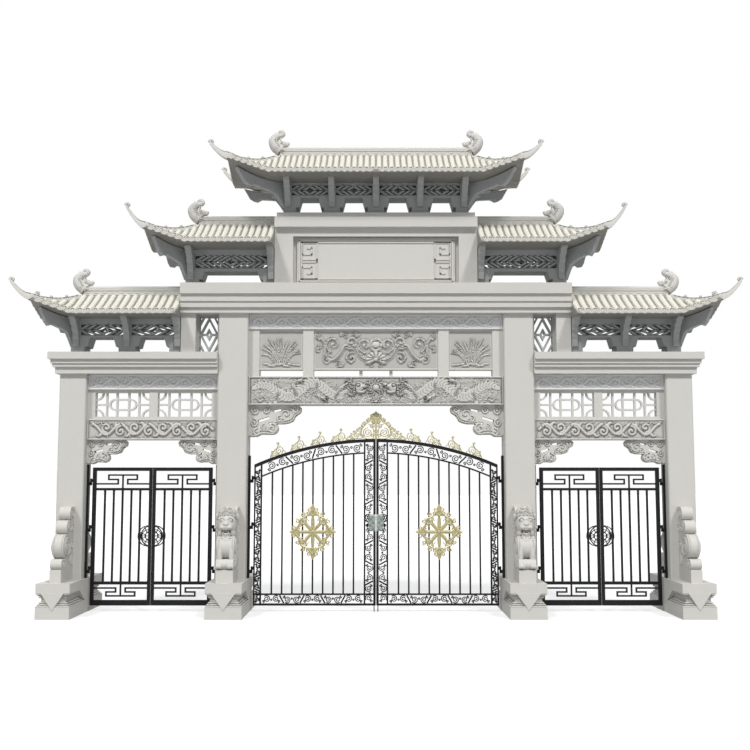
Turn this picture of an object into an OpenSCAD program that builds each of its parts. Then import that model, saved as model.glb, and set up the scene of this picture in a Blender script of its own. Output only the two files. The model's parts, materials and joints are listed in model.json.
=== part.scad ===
// Granite paifang, a three-bay gateway with four columns, five small hipped
// roofs and iron gates. X runs along the gateway, -Y is the street side and
// Z is up. The origin is on the ground at the middle of the gateway.

/* [Bays] */
// Clear width of the middle bay, between column faces
main_clear = 4730; // [4000:2:5680]
// Clear width of each side bay, between column faces
side_clear = 2430; // [2200:2:2920]

/* [Columns] */
// Width of the two middle columns, square
inner_col_w = 550; // [460:10:640]
// Width of the two outer columns, square
outer_col_w = 490; // [420:2:590]
// Height of the top of the middle columns
inner_col_top = 5475; // [5300:5:6400]
// Height of the top of the outer columns
outer_col_top = 4350; // [4000:5:4380]
// Chamfer on the columns' corners
col_chamfer = 18; // [5:1:40]

/* [Pedestals] */
// Height of the pedestals
ped_h = 612; // [520:4:720]
// Length of the pedestals, front to back
ped_len = 2200; // [1900:20:2600]
// Width of the pedestals under the middle columns
inner_ped_w = 640; // [580:10:660]
// Width of the pedestals under the outer columns
outer_ped_w = 590; // [520:10:600]
// Depth of the moulded waist
ped_waist = 80; // [40:5:110]

/* [Drum stones] */
// Thickness of the drum stones at the middle columns
inner_drum_t = 300; // [220:10:400]
// Thickness of the drum stones at the outer columns
outer_drum_t = 200; // [160:10:320]
// Radius of the drum
drum_r = 210; // [160:5:230]
// Thickness of the raised disc on each face of a drum
disc_proud = 14; // [6:1:30]

/* [Side bays] */
// Underside of the side beams
side_beam_z = 3134; // [2800:2:3300]
// Height of the side beams
side_beam_h = 388; // [300:4:460]
// Height of the lattice zone over the side beams
side_lattice_h = 539; // [460:1:620]
// Half depth of the side beams
side_beam_y = 120; // [90:5:160]
// Length of the side brackets along the beam
side_bracket_l = 740; // [560:10:900]

/* [Middle bay] */
// Underside of the middle beam
main_beam_z = 3780; // [3740:5:3900]
// Height of the middle beam
main_beam_h = 533; // [440:1:600]
// Open gap between the middle beam and the carved panels
panel_gap = 127; // [80:1:160]
// Top of the carved panels
panel_top = 5190; // [5100:5:5300]
// Half depth of the middle beam
main_beam_y = 150; // [110:5:200]
// Length of the small carved panels
small_panel_l = 811; // [700:1:900]
// Width of the posts between the panels
panel_post_w = 197; // [140:1:240]
// Length of the middle brackets along the beam
main_bracket_l = 985; // [800:5:1100]

/* [Cornices] */
// Height of the side cornices
side_cornice_h = 390; // [300:5:480]
// Height of the middle cornice
main_cornice_h = 545; // [440:5:640]
// How far the cornices stand out from the columns
cornice_out = 185; // [140:5:240]
// Distance the middle cornice runs past the middle columns
main_cornice_past = 695; // [585:5:785]
// Width of the short pillars over the side bays
pillar_w = 270; // [200:5:340]

/* [Plaque] */
// Distance from a middle column's inner face to the end of the plaque block
plaque_inset = 475; // [365:5:505]
// Height of the plaque block
plaque_h = 1070; // [1000:10:1200]
// Half depth of the plaque block
plaque_y = 280; // [240:5:330]
// Width of the border at the ends of the plaque block's recess
plaque_border = 345; // [240:5:490]
// Depth of the recess on each face
recess_d = 130; // [80:5:160]
// Height of the moulding over the plaque block
plaque_top_h = 280; // [200:5:340]

/* [Roofs] */
// Height of the low walls under the side roofs
low_frame_h = 649; // [560:1:720]
// Height of the walls under the middle pair of roofs
mid_frame_h = 673; // [600:1:740]
// Height of the wall under the top roof
top_frame_h = 597; // [540:1:680]
// Half depth of the side roofs at the eaves
low_eave_y = 780; // [740:2:940]
// Half depth of the middle pair of roofs
mid_eave_y = 840; // [740:5:920]
// Half depth of the top roof
top_eave_y = 920; // [800:5:1000]
// Distance the side roofs reach past the outer columns
low_eave_out = 437; // [405:1:565]
// Distance the middle pair of roofs reaches past the middle cornice
mid_eave_out = 605; // [570:5:790]
// Distance the top roof reaches past the plaque block
top_eave_out = 810; // [760:10:1010]
// Thickness of the eave edge
eave_t = 52; // [36:2:80]
// How far the corners of the eaves turn up
corner_lift = 270; // [120:10:320]
// Width of the ridges
ridge_w = 130; // [100:5:180]
// Height of the ridges
ridge_h = 165; // [120:5:200]

/* [Middle gate] */
// Height of the gates' bottom edge above the ground
gate_foot = 117; // [80:1:160]
// Top of the middle gate at its centre
arch_top = 3158; // [2900:2:3180]
// Radius of the middle gate's arched top
arch_r = 5600; // [4600:50:7000]
// Height of the scroll band under the arch
arch_band = 270; // [200:5:320]
// Number of upright bars in each middle leaf
main_bars = 9; // [6:1:12]

/* [Side gates] */
// Top of the side gates
side_gate_top = 2630; // [2300:10:2640]
// Number of upright bars in each side leaf
side_bars = 5; // [3:1:7]
// Radius of the half discs on the meeting stiles
medal_r = 195; // [140:5:220]

/* [Hinges] */
// Width of the iron posts that carry the gates
gate_post_w = 45; // [36:0.5:45]
// Distance from the post to the hinge axis of a middle leaf
main_hinge_out = 37; // [36:1:45]
// Distance from the post to the hinge axis of a side leaf
side_hinge_out = 32; // [30:1:40]
// Radius of the hinge pins
pin_r = 10; // [7:0.5:11]
// Radius of the hinge knuckles
knuckle_r = 18; // [15:1:20]
// Gap between the two leaves of a gate
meet_gap = 10; // [10:1:20]

/* [Hidden] */
$fn = 48;

// Stone and iron colours
STONE = [0.80, 0.79, 0.76];
TILE = [0.86, 0.85, 0.80];
IRON = [0.07, 0.07, 0.07];
GILT = [0.66, 0.61, 0.34];
STEEL = [0.60, 0.64, 0.61];

// Column axes and faces along X
inner_x = main_clear / 2 + inner_col_w / 2;
bay_in = main_clear / 2 + inner_col_w;
bay_out = bay_in + side_clear;
outer_x = bay_out + outer_col_w / 2;
bay_mid = (bay_in + bay_out) / 2;
inner_half = inner_col_w / 2;
outer_half = outer_col_w / 2;

// Half lengths of the middle panel, the middle cornice and the plaque block, and the roofs' ends
panel_half = main_clear / 2 - 2 * panel_post_w - small_panel_l;
main_cornice_x = bay_in + main_cornice_past;
plaque_x = main_clear / 2 - plaque_inset;
recess_x = plaque_x - plaque_border;
low_eave_x = bay_out + outer_col_w + low_eave_out;
mid_eave_x = main_cornice_x + mid_eave_out;
top_eave_x = plaque_x + top_eave_out;

// Pedestal mouldings: height of the plinth and the top slab, and the hanging cloth
plinth_h = 210;
slab_h = 162;
waist_h = 60;
cloth_proud = 12;
cloth_foot = 155;

// Levels of the side bays
side_lattice_z = side_beam_z + side_beam_h;
side_frieze_z = side_lattice_z + side_lattice_h;
side_bracket_t = 120;
lattice_post = 135;
lattice_rail = 45;
lattice_mid = 157;
lattice_y = 85;
lattice_bar = 34;

// Levels of the middle bay
main_beam_top = main_beam_z + main_beam_h;
panel_z = main_beam_top + panel_gap;
panel_y = 90;
panel_lip = 22;
panel_post_y = 130;
prop_x = 280;
prop_w = 60;
main_bracket_t = 140;

// Levels of the cornices, the plaque and the roofs
side_top = outer_col_top + side_cornice_h;
main_top = inner_col_top + main_cornice_h;
plaque_top = main_top + plaque_h;
plinth_top = plaque_top + plaque_top_h;
low_soffit = side_top + low_frame_h;
mid_soffit = main_top + mid_frame_h;
top_soffit = plinth_top + top_frame_h;

// Each cornice band: its share of the cornice's height and of its overhang
side_bands = [[0, 0.38], [0.31, 0.62], [0.47, 0.76], [0.67, 1]];
main_bands = [[0, 0.38], [0.18, 0.62], [0.38, 0.76], [0.63, 1]];

// Walls under the roofs
wall_y = 200;
eave_post_w = 110;
post_foot_y = 250;
post_reach = 0.73;
base_inset = 155;
arch_inset = 255;

// Bed joint between a wall and the roof on it
bed = 0.3;

// Each roof: inner end, ridge end, eave end, half depth, soffit, rise, horn length, horn rise
low_roof = [main_cornice_x, low_eave_x - 782, low_eave_x, low_eave_y, low_soffit, 386, 368, 360];
mid_roof = [plaque_x, mid_eave_x - 865, mid_eave_x, mid_eave_y, mid_soffit, 430, 340, 420];
top_roof = [0, top_eave_x - 870, top_eave_x, top_eave_y, top_soffit, 497, 335, 305];
lift_run = 750;
slope_power = 1.2;
hip_h = 80;
hip_w = 120;

// Gates
seat_gap = 0.3;
frame_y = 25;
bar_y = 11;
bar_w = 30;
side_bar_w = 38;
meander_w = 30;
medal_z = 1375;
main_axis = main_clear / 2 - gate_post_w - main_hinge_out;
side_axis_in = bay_in + gate_post_w + side_hinge_out;
side_axis_out = bay_out - gate_post_w - side_hinge_out;
leaf_gap = 32;
side_leaf_gap = 30;
side_frame_y = 20;
main_leaf_end = main_axis - meet_gap / 2;
side_leaf_end = (side_axis_out - side_axis_in) / 2 - meet_gap / 2;
hinge_h = 60;
pin_play = 0.5;
main_hinges = [700, 1500, 2350];
side_hinges = [700, 1450, 2300];
main_post_top = main_hinges[2] + 500;
side_post_top = side_gate_top + 50;
stile_band = 147;
meet_band = 220;
rosette_z = 1450;
lock_z = 1460;
lock_h = 310;
bolt_r = 9;
bolt_x = 30;
bolt_foot = 10;
keeper_h = 30;
keepers = [180, 400];
keeper_y = 28;

// ---- helpers ----

// The children and their mirror image on the other side of the middle
module left_and_right() {
  children();
  mirror([1, 0, 0]) children();
}

// The children and their mirror image on the garden side
module front_and_back() {
  children();
  mirror([0, 1, 0]) children();
}

// A block between two opposite corners
module block(x, y, z) {
  translate([x[0], y[0], z[0]]) cube([x[1] - x[0], y[1] - y[0], z[1] - z[0]]);
}

// A Y-Z outline carried along X
module along_x(x0, x1) {
  translate([x0, 0, 0]) rotate([90, 0, 90]) linear_extrude(x1 - x0) children();
}

// An X-Z outline carried along Y, from -half to half
module across_y(half) {
  translate([0, half, 0]) rotate([90, 0, 0]) linear_extrude(2 * half) children();
}

// An X-Z outline carried along Y between two depths
module through_y(y0, y1) {
  translate([0, y1, 0]) rotate([90, 0, 0]) linear_extrude(y1 - y0) children();
}

// A square given by two corners
module rect(x0, x1, z0, z1) {
  translate([x0, z0]) square([x1 - x0, z1 - z0]);
}

// Outline of a moulding between a and b, from [height, inset] steps
function moulded(a, b, steps) = concat(
  [for (s = steps) [b - s[1], s[0]]],
  [for (i = [len(steps) - 1:-1:0]) [a + steps[i][1], steps[i][0]]]);

// A block whose mouldings run round all four sides
module moulded_block(x, y, steps) {
  intersection() {
    along_x(x[0], x[1]) polygon(moulded(y[0], y[1], steps));
    across_y(max(abs(y[0]), abs(y[1]))) polygon(moulded(x[0], x[1], steps));
  }
}

// ---- pedestals, columns and drum stones ----

// Moulding of a pedestal: plinth, hollow, waist, round and slab
function ped_steps() = let (
  slab_z = ped_h - slab_h,
  waist_z = (plinth_h + slab_z - waist_h) / 2,
  hollow = waist_z - plinth_h,
  round_z = waist_z + waist_h,
  rise = slab_z - round_z)
  concat(
    [[0, 0], [plinth_h, 0]],
    [for (a = [15:15:90]) [plinth_h + hollow * (1 - cos(a)), ped_waist * sin(a)]],
    [for (a = [0:15:75]) [round_z + rise * sin(a), ped_waist * cos(a)]],
    [[slab_z, 0], [ped_h, 0]]);

// Three-cornered end of the cloth that hangs over a pedestal
module cloth(half) {
  polygon([[-half, ped_h - slab_h], [half, ped_h - slab_h], [0, cloth_foot]]);
}

module pedestal(x, w, cloth_half) {
  translate([x, 0, 0]) {
    moulded_block([-w / 2, w / 2], [-ped_len / 2, ped_len / 2], ped_steps());
    front_and_back()
      through_y(-ped_len / 2 - cloth_proud, -ped_len / 2 + ped_waist) cloth(cloth_half);
    along_x(-w / 2, w / 2) cloth(0.22 * ped_len);
  }
}

module column(x, w, top) {
  corner = w / 2 - col_chamfer;
  translate([x, 0, ped_h]) linear_extrude(top - ped_h)
    polygon([
      [-w / 2, -corner], [-corner, -w / 2], [corner, -w / 2], [w / 2, -corner],
      [w / 2, corner], [corner, w / 2], [-corner, w / 2], [-w / 2, corner]]);
}

// A flat arm with a round end, out from the column
module lobe(y0, y1, z0, z1) {
  r = (z1 - z0) / 2;
  rect(y0, y1 - r, z0, z1);
  translate([y1 - r, z0 + r]) circle(r);
}

// Side outline of a drum stone: two scrolls, the drum, a small scroll and its block
module drum_outline(y0) {
  drum_z = ped_h + 616;
  lobe(y0, y0 + 275, ped_h + 1068, ped_h + 1308);
  lobe(y0, y0 + 455, ped_h + 828, ped_h + 1068);
  rect(y0, y0 + 435, ped_h + 400, ped_h + 828);
  translate([y0 + 435, drum_z]) circle(drum_r);
  lobe(y0, y0 + 725, ped_h + 228, ped_h + 406);
  rect(y0, y0 + 725, ped_h, ped_h + 228);
}

module drum_stones(x, col_half, t) {
  translate([x, 0, 0]) front_and_back() mirror([0, 1, 0]) {
    along_x(-t / 2, t / 2) drum_outline(col_half);
    translate([-t / 2 - disc_proud, col_half + 435, ped_h + 616]) rotate([0, 90, 0])
      cylinder(r = drum_r - 45, h = t + 2 * disc_proud);
  }
}

// ---- side bays ----

module side_beams() {
  color(STONE) left_and_right()
    block([bay_in, bay_out], [-side_beam_y, side_beam_y], [side_beam_z, side_lattice_z]);
}

// The lobes of a cloud bracket. k is its length over 985.
module cloud_lobes(k) {
  rect(0, 900 * k, -170 * k, 0);
  translate([900 * k, -85 * k]) circle(85 * k);
  rect(0, 680 * k, -345 * k, 0);
  translate([680 * k, -145 * k]) circle(200 * k);
  rect(0, 450 * k, -545 * k, 0);
  translate([450 * k, -435 * k]) circle(110 * k);
  rect(0, 150 * k, -585 * k, 0);
  translate([150 * k, -525 * k]) circle(60 * k);
}

// Outline of a pierced cloud bracket, hung from its top edge
module cloud_bracket(k) {
  difference() {
    intersection() {
      rect(0, 1000 * k, -600 * k, 0);
      cloud_lobes(k);
    }
    translate([534 * k, -95 * k]) rotate(12) rect(-70 * k, 70 * k, -22 * k, 22 * k);
    translate([270 * k, -265 * k]) rotate(18) rect(-120 * k, 120 * k, -24 * k, 24 * k);
    translate([420 * k, -330 * k]) rotate(12) rect(-45 * k, 45 * k, -18 * k, 18 * k);
  }
}

module side_brackets() {
  k = side_bracket_l / 985;
  color(STONE) left_and_right() {
    translate([bay_in, 0, side_beam_z]) across_y(side_bracket_t / 2) cloud_bracket(k);
    translate([bay_out, 0, side_beam_z]) mirror([1, 0, 0]) across_y(side_bracket_t / 2)
      cloud_bracket(k);
  }
}

// A ring of bar width w round a slot of length l and height h
module slot_ring(l, h, w) {
  difference() {
    union() {
      rect(-l / 2 + h / 2, l / 2 - h / 2, -h / 2, h / 2);
      translate([-l / 2 + h / 2, 0]) circle(h / 2, $fn = 12);
      translate([l / 2 - h / 2, 0]) circle(h / 2, $fn = 12);
    }
    rect(-l / 2 + h / 2, l / 2 - h / 2, -h / 2 + w, h / 2 - w);
    translate([-l / 2 + h / 2, 0]) circle(h / 2 - w, $fn = 12);
    translate([l / 2 - h / 2, 0]) circle(h / 2 - w, $fn = 12);
  }
}

// Stone bars of one side window, about its centre
module window_bars(w, h) {
  ring_l = 0.52 * w;
  ring_h = 0.50 * h;
  slot_ring(ring_l, ring_h, lattice_bar);
  for (s = [-1, 1]) {
    for (f = [0.11, 0.30]) translate([s * f * w, 0])
      rect(-lattice_bar / 2, lattice_bar / 2, -h / 2, h / 2);
    mirror([s < 0 ? 1 : 0, 0])
      rect((ring_l - lattice_bar) / 2, w / 2, -lattice_bar / 2, lattice_bar / 2);
    for (t = [-1, 1]) translate([s * w / 2, t * h / 2]) intersection() {
      difference() {
        circle(0.34 * h, $fn = 12);
        circle(0.34 * h - lattice_bar, $fn = 12);
      }
      rect(min(0, -s * h), max(0, -s * h), min(0, -t * h), max(0, -t * h));
    }
  }
}

module side_lattices() {
  z0 = side_lattice_z + lattice_rail;
  z1 = side_frieze_z - lattice_rail;
  half_l = (bay_mid - lattice_mid / 2) - (bay_in + lattice_post);
  color(STONE) left_and_right() {
    difference() {
      block([bay_in, bay_out], [-lattice_y, lattice_y], [side_lattice_z, side_frieze_z]);
      for (s = [-1, 1]) translate([bay_mid + s * (lattice_mid / 2 + half_l / 2), 0, 0])
        block([-half_l / 2, half_l / 2], [-2 * lattice_y, 2 * lattice_y], [z0, z1]);
    }
    for (s = [-1, 1])
      translate([bay_mid + s * (lattice_mid / 2 + half_l / 2), 0, (z0 + z1) / 2])
        across_y(lattice_bar) window_bars(half_l, z1 - z0);
  }
}

module side_friezes() {
  color(STONE) left_and_right()
    block([bay_in, bay_out], [-side_beam_y, side_beam_y], [side_frieze_z, outer_col_top]);
}

// Steps of a cornice of height h from level z: each band's foot and top, and its inset
function cornice_steps(z, h, bands) = [
  for (i = [0:len(bands) - 1])
    for (end = [bands[i][0], i < len(bands) - 1 ? bands[i + 1][0] : 1])
      [z + h * end, cornice_out * (1 - bands[i][1])]];

module side_cornices() {
  steps = cornice_steps(outer_col_top, side_cornice_h, side_bands);
  y = outer_half + cornice_out;
  x = bay_out + outer_col_w + cornice_out;
  color(STONE) left_and_right() intersection() {
    moulded_block([0, x], [-y, y], steps);
    block([bay_in, x], [-y, y], [outer_col_top, side_top]);
  }
}

// ---- middle bay ----

module main_beam() {
  color(STONE)
    block([-main_clear / 2, main_clear / 2], [-main_beam_y, main_beam_y],
      [main_beam_z, main_beam_top]);
}

module main_brackets() {
  color(STONE) left_and_right() translate([-main_clear / 2, 0, main_beam_z])
    across_y(main_bracket_t / 2) cloud_bracket(main_bracket_l / 985);
}

module panel_posts() {
  color(STONE) left_and_right() {
    block([panel_half, panel_half + panel_post_w], [-panel_post_y, panel_post_y],
      [main_beam_top, panel_top]);
    block([main_clear / 2 - panel_post_w, main_clear / 2], [-panel_post_y, panel_post_y],
      [main_beam_top, panel_top]);
  }
}

// A carved panel with a lip along its foot
module panel(x0, x1) {
  block([x0, x1], [-panel_y, panel_y], [panel_z, panel_top]);
  block([x0, x1], [-panel_y - panel_lip, panel_y + panel_lip], [panel_z, panel_z + 30]);
}

module carved_panels() {
  color(STONE) {
    panel(-panel_half, panel_half);
    for (s = [-1, 1]) translate([s * prop_x, 0, 0])
      block([-prop_w / 2, prop_w / 2], [-panel_y / 2, panel_y / 2], [main_beam_top, panel_z]);
    left_and_right() panel(panel_half + panel_post_w, main_clear / 2 - panel_post_w);
  }
}

module main_frieze() {
  color(STONE)
    block([-main_clear / 2, main_clear / 2], [-main_beam_y, main_beam_y],
      [panel_top, inner_col_top]);
}

module main_cornice() {
  steps = cornice_steps(inner_col_top, main_cornice_h, main_bands);
  y = inner_half + cornice_out;
  color(STONE) along_x(-main_cornice_x, main_cornice_x) polygon(moulded(-y, y, steps));
}

module short_pillars() {
  color(STONE) left_and_right()
    block([main_cornice_x - pillar_w, main_cornice_x], [-inner_half, inner_half],
      [side_top, inner_col_top]);
}

// Diamond of half width a and half height b
module diamond(a, b) {
  polygon([[-a, 0], [0, -b], [a, 0], [0, b]]);
}

// Bars in nested diamonds that fill a window w by h, about its centre
module diamond_bars(w, h, bar, rings) {
  intersection() {
    union() {
      for (i = [1:rings]) {
        a = w * (i - 0.45) / rings;
        b = h * (i - 0.45) / rings;
        thin = 1 - bar * sqrt(1 / (a * a) + 1 / (b * b));
        difference() {
          diamond(a, b);
          diamond(a * thin, b * thin);
        }
      }
      rect(-w / 2, -w * 0.5 / rings, -bar / 2, bar / 2);
      rect(w * 0.5 / rings, w / 2, -bar / 2, bar / 2);
    }
    rect(-w / 2, w / 2, -h / 2, h / 2);
  }
}

module pillar_lattices() {
  x0 = bay_in;
  x1 = main_cornice_x - pillar_w;
  edge = 42;
  w = x1 - x0 - 2 * edge;
  h = inner_col_top - side_top - 2 * edge;
  color(STONE) left_and_right() translate([(x0 + x1) / 2, 0, (side_top + inner_col_top) / 2]) {
    across_y(90) difference() {
      rect(-w / 2 - edge, w / 2 + edge, -h / 2 - edge, h / 2 + edge);
      rect(-w / 2, w / 2, -h / 2, h / 2);
    }
    across_y(45) diamond_bars(w, h, 34, 3);
  }
}

// ---- plaque ----

recess_foot = main_top + 30;
recess_head = plaque_top - 160;

module plaque_block() {
  color(STONE) difference() {
    block([-plaque_x, plaque_x], [-plaque_y, plaque_y], [main_top, plaque_top]);
    front_and_back()
      block([-recess_x, recess_x], [-plaque_y - 1, -plaque_y + recess_d],
        [recess_foot, recess_head]);
  }
}

module plaque_boards() {
  margin = 70;
  board_t = 40;
  color(STONE) front_and_back()
    block([-recess_x + margin, recess_x - margin],
      [-plaque_y + recess_d - board_t, -plaque_y + recess_d], [recess_foot, recess_head - 20]);
}

module plaque_moulding() {
  band = 0.68 * plaque_top_h;
  color(STONE) {
    block([-plaque_x, plaque_x], [-plaque_y - 90, plaque_y + 90],
      [plaque_top, plaque_top + band]);
    block([-plaque_x + 40, plaque_x - 40], [-plaque_y - 50, plaque_y + 50],
      [plaque_top + band, plinth_top]);
  }
}

// ---- walls under the roofs ----

// Part of the corner lift at a distance past the start of the turn
function ramp(d) = min(1, max(0, d / lift_run));

// How far a roof is turned up at a place
function lift(r, x, y) = corner_lift * ramp(abs(x) - r[2] + lift_run)
  * ramp(abs(y) - r[3] + lift_run);

// Stepped bracket outline: out is measured from the wall, up from its foot
function bracket_points(reach, h) = [
  [0, 0], [0.04 * reach, 0], [0.10 * reach, 0.20 * h], [0.20 * reach, 0.34 * h],
  [0.24 * reach, 0.48 * h], [0.42 * reach, 0.58 * h], [0.46 * reach, 0.70 * h],
  [0.70 * reach, 0.76 * h], [0.76 * reach, 0.88 * h], [reach, 0.92 * h], [reach, h], [0, h]];

// One wall under a roof, from x0 to x1, with a window over each opening.
// levels: foot, top of the openings, foot and top of the windows, soffit.
module eave_wall(r, x0, x1, posts, levels, ends) {
  z0 = levels[0];
  z1 = levels[4];
  foot = z0 + 0.42 * (levels[1] - z0);
  half = eave_post_w / 2;
  reach = post_reach * r[3] - wall_y;
  across_y(wall_y) difference() {
    rect(x0, x1, z0, z1);
    for (i = [0:len(posts) - 2]) {
      a = posts[i];
      b = posts[i + 1];
      polygon([
        [a + base_inset, z0 - 1], [b - base_inset, z0 - 1], [b - base_inset, foot],
        [b - base_inset - 50, foot], [b - arch_inset, levels[1]], [a + arch_inset, levels[1]],
        [a + base_inset + 50, foot], [a + base_inset, foot]]);
      rect(a + half + 20, b - half - 20, levels[2], levels[3]);
    }
  }
  across_y(45) for (i = [0:len(posts) - 2]) {
    a = posts[i] + half + 20;
    b = posts[i + 1] - half - 20;
    translate([(a + b) / 2, (levels[2] + levels[3]) / 2])
      diamond_bars(b - a, levels[3] - levels[2], 24, 3);
  }
  for (p = posts) front_and_back() mirror([0, 1, 0]) along_x(p - half, p + half) {
    translate([wall_y, foot]) polygon(bracket_points(reach, z1 - foot));
    rect(wall_y - 1, post_foot_y, foot, z1);
  }
  for (e = ends) translate([e[0], 0, 0]) {
    mirror([e[1] < 0 ? 1 : 0, 0, 0]) {
      across_y(half) translate([0, foot])
        polygon(bracket_points(0.62 * (r[2] - abs(e[0])), z1 - foot));
      corner_brackets(r, abs(e[0]), foot, z1, half);
    }
  }
}

// The two slanting brackets that reach from a wall's end to the turned-up corners
module corner_brackets(r, x_end, foot, z1, half) {
  run_x = r[2] - 130 - x_end;
  run_y = r[3] - 130 - wall_y;
  run = sqrt(run_x * run_x + run_y * run_y);
  h = z1 - foot;
  clear = 5;
  edge = half + 5;
  under = [[0, 0], [0.10, 0.28], [0.20, 0.52], [0.38, 0.62], [0.62, 0.72], [0.74, 0.66], [0.84, 0.80]];
  top = [for (i = [10:-1:0])
    let (s = i / 10)
    [s * run, h - clear + lift(r, x_end + s * run_x - edge, wall_y + s * run_y - edge)]];
  front_and_back() translate([-1, -wall_y + half, 0]) rotate([0, 0, -atan2(run_y, run_x)])
    across_y(half) translate([0, foot])
      polygon(concat([for (p = under) [p[0] * run, p[1] * h]], top));
}

module eave_wall_low() {
  x0 = main_cornice_x;
  x1 = low_roof[2] - 612;
  first = x0 + 70;
  last = x1 - 100;
  eave_wall(low_roof, x0, x1, [first, (first + last) / 2, last],
    [side_top, side_top + 0.456 * low_frame_h, side_top + 0.508 * low_frame_h,
      low_soffit - 99, low_soffit - bed], [[x1, 1]]);
}

module eave_wall_mid() {
  x0 = plaque_x;
  x1 = mid_roof[2] - 655;
  eave_wall(mid_roof, x0, x1, [x0 + 70, x1 - 100],
    [main_top, main_top + 0.382 * mid_frame_h, main_top + 0.467 * mid_frame_h,
      mid_soffit - 101, mid_soffit - bed], [[x1, 1]]);
}

module eave_wall_top() {
  x1 = top_roof[2] - 960;
  last = x1 - 80;
  color(STONE)
    eave_wall(top_roof, -x1, x1, [-last, -last / 2, 0, last / 2, last],
      [plinth_top, plinth_top + 0.53 * top_frame_h, plinth_top + 0.60 * top_frame_h,
        top_soffit - 28, top_soffit - bed], [[x1, 1], [-x1, -1]]);
}

// ---- roofs ----

// Share of the way down the slope at a place: 0 at the ridge, 1 at the eaves
function down(r, x, y) = max(0, (abs(y) - ridge_w / 2) / (r[3] - ridge_w / 2),
  (abs(x) - r[1]) / (r[2] - r[1]));

// Level of the tiles at a place
function tiles_z(r, x, y) = r[4] + eave_t + r[5] * pow(1 - down(r, x, y), slope_power)
  + lift(r, x, y);

// Places across the slope, closer together where the roof curves
shares = [0, 0.2, 0.4, 0.6, 0.8, 1];
function ys(r) = concat(
  [for (i = [len(shares) - 1:-1:0]) -ridge_w / 2 - shares[i] * (r[3] - ridge_w / 2)],
  [for (s = shares) ridge_w / 2 + s * (r[3] - ridge_w / 2)]);
function hip_xs(r) = [for (s = shares) r[1] + s * (r[2] - r[1])];

// Tiled slab over the grid xs by ys, with its soffit
module roof_slab(r, xs) {
  y = ys(r);
  nx = len(xs);
  ny = len(y);
  n = nx * ny;
  points = concat(
    [for (a = xs) for (b = y) [a, b, tiles_z(r, a, b)]],
    [for (a = xs) for (b = y) [a, b, r[4] + lift(r, a, b)]]);
  cells = [for (i = [0:nx - 2]) for (j = [0:ny - 2]) [i * ny + j, (xs[i] + xs[i + 1]) * (y[j] + y[j + 1])]];
  top = [for (c = cells) for (k = [0, 1])
    let (a = c[0], b = a + 1, d = a + ny, e = d + 1)
    c[1] > 0 ? (k == 0 ? [a, b, e] : [a, e, d]) : (k == 0 ? [a, b, d] : [b, e, d])];
  under = [for (f = top) [f[2] + n, f[1] + n, f[0] + n]];
  rim = concat(
    [for (i = [0:nx - 2]) [i * ny, (i + 1) * ny]],
    [for (j = [0:ny - 2]) [(nx - 1) * ny + j, (nx - 1) * ny + j + 1]],
    [for (i = [nx - 2:-1:0]) [(i + 1) * ny + ny - 1, i * ny + ny - 1]],
    [for (j = [ny - 2:-1:0]) [j + 1, j]]);
  sides = [for (e = rim) for (k = [0, 1])
    k == 0 ? [e[0], e[1], e[1] + n] : [e[0], e[1] + n, e[0] + n]];
  polyhedron(points, concat(top, under, sides));
}

// Station of a hip's sweep: the four corners of its upright section. The section is w wide,
// reaches from z0 to z1 and faces the way turn points.
function section(x, y, z0, z1, w, turn) = let (dx = -sin(turn) * w / 2, dy = cos(turn) * w / 2) [
  [x + dx, y + dy, z0], [x - dx, y - dy, z0], [x - dx, y - dy, z1], [x + dx, y + dy, z1]];

// A bar swept through a list of four-cornered sections
module swept(sections) {
  n = len(sections);
  sides = [for (i = [0:n - 2]) for (k = [0:3]) for (h = [0, 1])
    let (a = 4 * i + k, b = 4 * i + (k + 1) % 4, c = b + 4, d = a + 4)
    h == 0 ? [a, b, c] : [a, c, d]];
  ends = [[2, 1, 0], [3, 2, 0], [4 * n - 4, 4 * n - 3, 4 * n - 2], [4 * n - 4, 4 * n - 2, 4 * n - 1]];
  polyhedron([for (s = sections) for (p = s) p], concat(sides, ends));
}

// Hip with its horn, towards +X and -Y. It starts just beside the ridge's end.
module hip(r) {
  run_x = r[2] - r[1];
  run_y = r[3] - hip_w / 2;
  turn = -atan2(run_y, run_x);
  first = 0.14;
  steps = 5;
  corner = tiles_z(r, r[2], -run_y);
  swept(concat(
    [for (i = [0:steps])
      let (s = first + (1 - first) * i / steps, x = r[1] + s * run_x, y = -s * run_y,
        z = tiles_z(r, x, y))
      section(x, y, z - 40, z + hip_h, hip_w, s == 1 ? turn / 2 : turn)],
    [for (i = [1:steps])
      let (u = i / steps, head = corner + hip_h + (r[7] - hip_h) * pow(u, 1.7))
      section(r[2] + r[6] * u, -run_y, head - 120 * (1 - 0.72 * u), head, hip_w * (1 - 0.6 * u), 0)]));
}

module side_roof(r) {
  roof_slab(r, concat([r[0]], hip_xs(r)));
  front_and_back() hip(r);
}

module roof_top() {
  xs = hip_xs(top_roof);
  color(TILE) {
    roof_slab(top_roof, concat([for (i = [len(xs) - 1:-1:0]) -xs[i]], xs));
    left_and_right() front_and_back() hip(top_roof);
  }
}

// Ridge of one roof from x0 to its ridge end
module ridge(r, x0) {
  z = r[4] + eave_t + r[5];
  block([x0, r[1]], [-ridge_w / 2, ridge_w / 2], [z, z + ridge_h]);
}

module roof_ridges() {
  color(STONE) {
    left_and_right() {
      ridge(low_roof, low_roof[0]);
      ridge(mid_roof, mid_roof[0]);
    }
    ridge(top_roof, -top_roof[1]);
  }
}

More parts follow.
